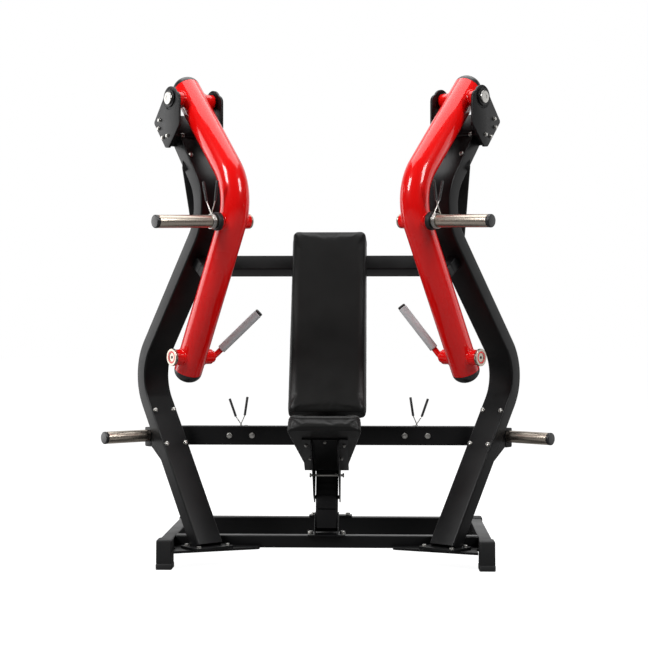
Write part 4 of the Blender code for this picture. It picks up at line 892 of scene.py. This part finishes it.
for hand, side in HANDS:
    body = hand + "_arm"
    out = side_dir(hand, (1, 0, 0))
    tube = carried(ring * ARM_R, on_side(hand, in_side_plane(arm_line)), out, edge=0.0008)
    upper_axis, lower_axis = unit(ARM_VERTEX - pivot_point), unit(ARM_VERTEX - swivel_point)
    housings, beads = [], []
    for centre, axis, radius, inwards, outwards, fall in ((pivot_point, upper_axis, 0.030, 0.096, 0.096, 0.0),
                                                          (swivel_point, lower_axis, 0.031, 0.0875, 0.0875,
                                                           0.0),
                                                          (HORN_AT, lower_axis, 0.0295, 0.074, 0.062,
                                                           HORN_FALL)):
        at = on_side(hand, [(0, *centre)])[0]
        housings.append(turned(rod_profile(radius, -inwards, outwards, 0.0015), at,
                               side_dir(hand, (1, 0, -fall))))
        beads += [weld_bead(hand, centre, axis, radius, way, fall) for way in (-1, 1)]
    piece("swing_arm_" + hand, tube, *housings, body=body, stands_for=["arm_" + hand], **painted)
    piece("arm_welds_" + hand, *beads, body=body, **painted, loop=True)
    angle = np.linspace(0, math.pi / 2, 16)
    dome = np.stack([ARM_R * np.sin(angle), 0.0003 + CAP_DOME * np.cos(angle)], 1)
    cap = np.concatenate([dome, [(ARM_R - 0.002, 0.0002), (ARM_R - 0.006, 0.0), (0.0, 0.0)]])
    for label, end in (("top", arm_top), ("bottom", arm_bottom)):
        beyond = unit(end - ARM_VERTEX)
        piece(f"arm_{label}_dome_{hand}", turned(cap, on_side(hand, [(0, *end)])[0],
                                                 side_dir(hand, (0, *beyond))),
              body=body, stands_for=[f"arm_{label}_cap_{hand}"], **plastic)
    pivot = on_side(hand, [(0, *pivot_point)])[0]
    sleeve = np.array([(0.0205, -0.095), (0.0205, 0.095), (0.0153, 0.095), (0.0153, -0.095)])
    piece("pivot_sleeve_" + hand, turned(sleeve, pivot, out), body=body, stands_for=["pivot_bush_" + hand],
          slot="bearing_bronze", material=bronze, loop=True)
    horn_root, horn_out = on_side(hand, [(0, *HORN_AT)])[0], side_dir(hand, (1, 0, -HORN_FALL))
    horn("plate_horn_" + hand, horn_root, horn_out, 0.060, HORN_TIP, body, "weight_horn_" + hand)
    end_cap = rod_profile(0.029, -0.083, -0.0743, 0.003)
    piece("horn_end_cap_" + hand, turned(end_cap, horn_root, horn_out), body=body, **plated)
    bumper = np.array([(0.0253, 0.0625), (0.0335, 0.0625), (0.0355, 0.0640), (0.0360, 0.0665),
                       (0.0360, 0.0785),
                       (0.0355, 0.0810), (0.0335, 0.0825), (0.0253, 0.0825)])
    piece("horn_bumper_" + hand, turned(bumper, horn_root, horn_out), body=body,
          stands_for=["horn_ring_" + hand],
          **rubbered, loop=True)


# ---------------------------------------------------------------- Spring collars
# A clip wound from one length of spring wire: turns round the horn, and two splayed legs with
# ribbed plastic grips. Squeezing the legs together opens the turns.
WIRE_R, TURNS, LEG_UP, GRIP_R, GRIP_FROM, REAR_LEAN = 0.0022, 3, 0.150, 0.0052, 0.079, 0.094


def spring_collar(name, foot, axis, up, body, cad_node):
    """Wire along a helix round the horn, radius and pitch constant, whose ends leave it upwards as two
    legs with a slight knee; grips are turned sleeves on the legs."""
    axis = unit(axis)
    across = unit(np.cross(axis, up))
    up = np.cross(across, axis)
    radius = HORN_R + WIRE_R + 0.0008
    lead = math.radians(22)
    angle = np.linspace(lead, 2 * math.pi * TURNS - lead, 48 * TURNS)
    pitch = 2 * WIRE_R + 0.0008
    coil = (foot + axis * (0.004 + pitch * angle / (2 * math.pi))[:, None]
            + radius * (np.cos(angle)[:, None] * up + np.sin(angle)[:, None] * across))
    legs = []
    for way, end in ((-1, coil[0]), (1, coil[-1])):
        knee = foot + axis * float((end - foot) @ axis) + up * GRIP_FROM + across * way * 0.0185
        tip = foot + axis * float((end - foot) @ axis) + up * LEG_UP + across * way * 0.036
        legs.append((end, knee, tip))
    first = bent([coil[0] + (legs[0][1] - coil[0]) * 0.02, legs[0][1], legs[0][2]], 0.020, 6)[::-1]
    last = bent([coil[-1] + (legs[1][1] - coil[-1]) * 0.02, legs[1][1], legs[1][2]], 0.020, 6)
    wire = carried(ring[::8] * WIRE_R, np.concatenate([first, coil, last]), axis, edge=0.0004)
    piece(name + "_wire", wire, body=body, stands_for=[cad_node], **zinced)
    grips = []
    for end, knee, tip in legs:
        length = float(np.linalg.norm(tip - knee))
        height = np.linspace(0.0, length + 0.004, 60)
        ribs = GRIP_R + 0.0004 * np.sin(height * 2 * math.pi / 0.0042)
        body_line = np.stack([ribs, height], 1)
        sleeve = np.concatenate([[(0.0, -0.001), (GRIP_R - 0.001, -0.0005)], body_line,
                                 [(GRIP_R * 0.8, length + 0.006), (0.0, length + 0.0068)]])
        grips.append(turned(sleeve, knee, tip - knee, 24))
    piece(name + "_grips", *grips, body=body, **plastic)


for hand, side in HANDS:
    horn_out = side_dir(hand, (1, 0, -HORN_FALL))
    foot_at = on_side(hand, [(0, *HORN_AT)])[0] + horn_out * 0.0855
    spring_collar("weight_clip_" + hand, foot_at, horn_out, (0, 0, 1), hand + "_weight_collar",
                  "weight_collar_" + hand)
    low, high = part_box("rear_storage_horn_" + hand)
    foot_at = np.array([(low.x + high.x) / 2, low.y + 0.012, CROSS_Z])
    spring_collar("storage_clip_" + hand, foot_at, (0, 1, 0), (side * REAR_LEAN, 0, 1), hand + "_rear_collar",
                  "rear_collar_" + hand)


# ---------------------------------------------------------------- Handles
# A red shaft turns in the arm's lower housing between a red knuckle inside and a plated disc
# outside. Its neck bends in to a light grey grip sleeve with a black end plug.
HANDLE_BEND, HANDLE_SPLAY, LEAN = 0.1055, math.radians(59), {"right": math.radians(23),
                                                             "left": math.radians(36)}
SLEEVE, SHAFT_R, KNUCKLE_R, NECK_BEND = (0.042, 0.263, 0.0175), 0.0117, 0.024, 0.022

sleeve_grey = finish("sleeve_grey", (0.44, 0.44, 0.45), (0.52, 0.52, 0.53), (0.50, 0.60), 900.0, 0.00006,
                     60.0)
for hand, side in HANDS:
    body = hand + "_handle"
    lean = LEAN[hand]
    local = np.array([-math.cos(HANDLE_SPLAY), -math.sin(HANDLE_SPLAY) * math.sin(lean),
                      math.sin(HANDLE_SPLAY) * math.cos(lean)])
    grip_dir = side_dir(hand, local)
    out = side_dir(hand, (1, 0, 0))
    centre = on_side(hand, [(0, 0, SWIVEL_Z)])[0]
    vertex = centre - out * HANDLE_BEND
    neck = bent([centre + out * 0.088, vertex, vertex + grip_dir * (SLEEVE[0] + 0.02)], NECK_BEND, 16)
    shaft = carried(ring[::3] * SHAFT_R, neck, np.cross(out, grip_dir), edge=0.0004)
    knuckle = turned(rod_profile(KNUCKLE_R, 0.0878, 0.1020, 0.003), centre, -out)
    piece("handle_neck_" + hand, shaft, knuckle, body=body, stands_for=["handle_" + hand], **painted)
    sleeve = turned(rod_profile(SLEEVE[2], SLEEVE[0], SLEEVE[1] - 0.010, 0.003), vertex, grip_dir)
    piece("hand_grip_" + hand, sleeve, body=body, stands_for=["grip_" + hand], slot="grey_grip",
          material=sleeve_grey)
    plug = turned(rod_profile(SLEEVE[2] - 0.0012, SLEEVE[1] - 0.011, SLEEVE[1], 0.003), vertex, grip_dir)
    piece("grip_plug_" + hand, plug, body=body, **plastic)
    disc = np.array([(0.0, 0.0975), (0.0165, 0.0975), (0.0170, 0.0990), (0.0250, 0.0990), (0.0258, 0.1001),
                     (0.0335, 0.1003), (0.0348, 0.0990), (0.035, 0.0960), (0.035, 0.0900), (0.0342, 0.0884),
                     (0.0, 0.0881)])
    piece("swivel_cover_" + hand, turned(disc, centre, out, 96), body=body,
          stands_for=["swivel_disc_" + hand],
          **plated)
    enamel = np.array([(0.0180, 0.0989), (0.0245, 0.0989), (0.0245, 0.0994), (0.0240, 0.0996),
                       (0.0185, 0.0996),
                       (0.0180, 0.0994)])
    piece("swivel_enamel_" + hand, turned(enamel, centre, out, 96), body=body, **painted, loop=True)
    button = np.array([(0.0, 0.0992), (0.0048, 0.0991), (0.0060, 0.0985), (0.0062, 0.0974), (0.0, 0.0974)])
    piece("swivel_button_" + hand, turned(button, centre, out, 48), body=body, **plastic)
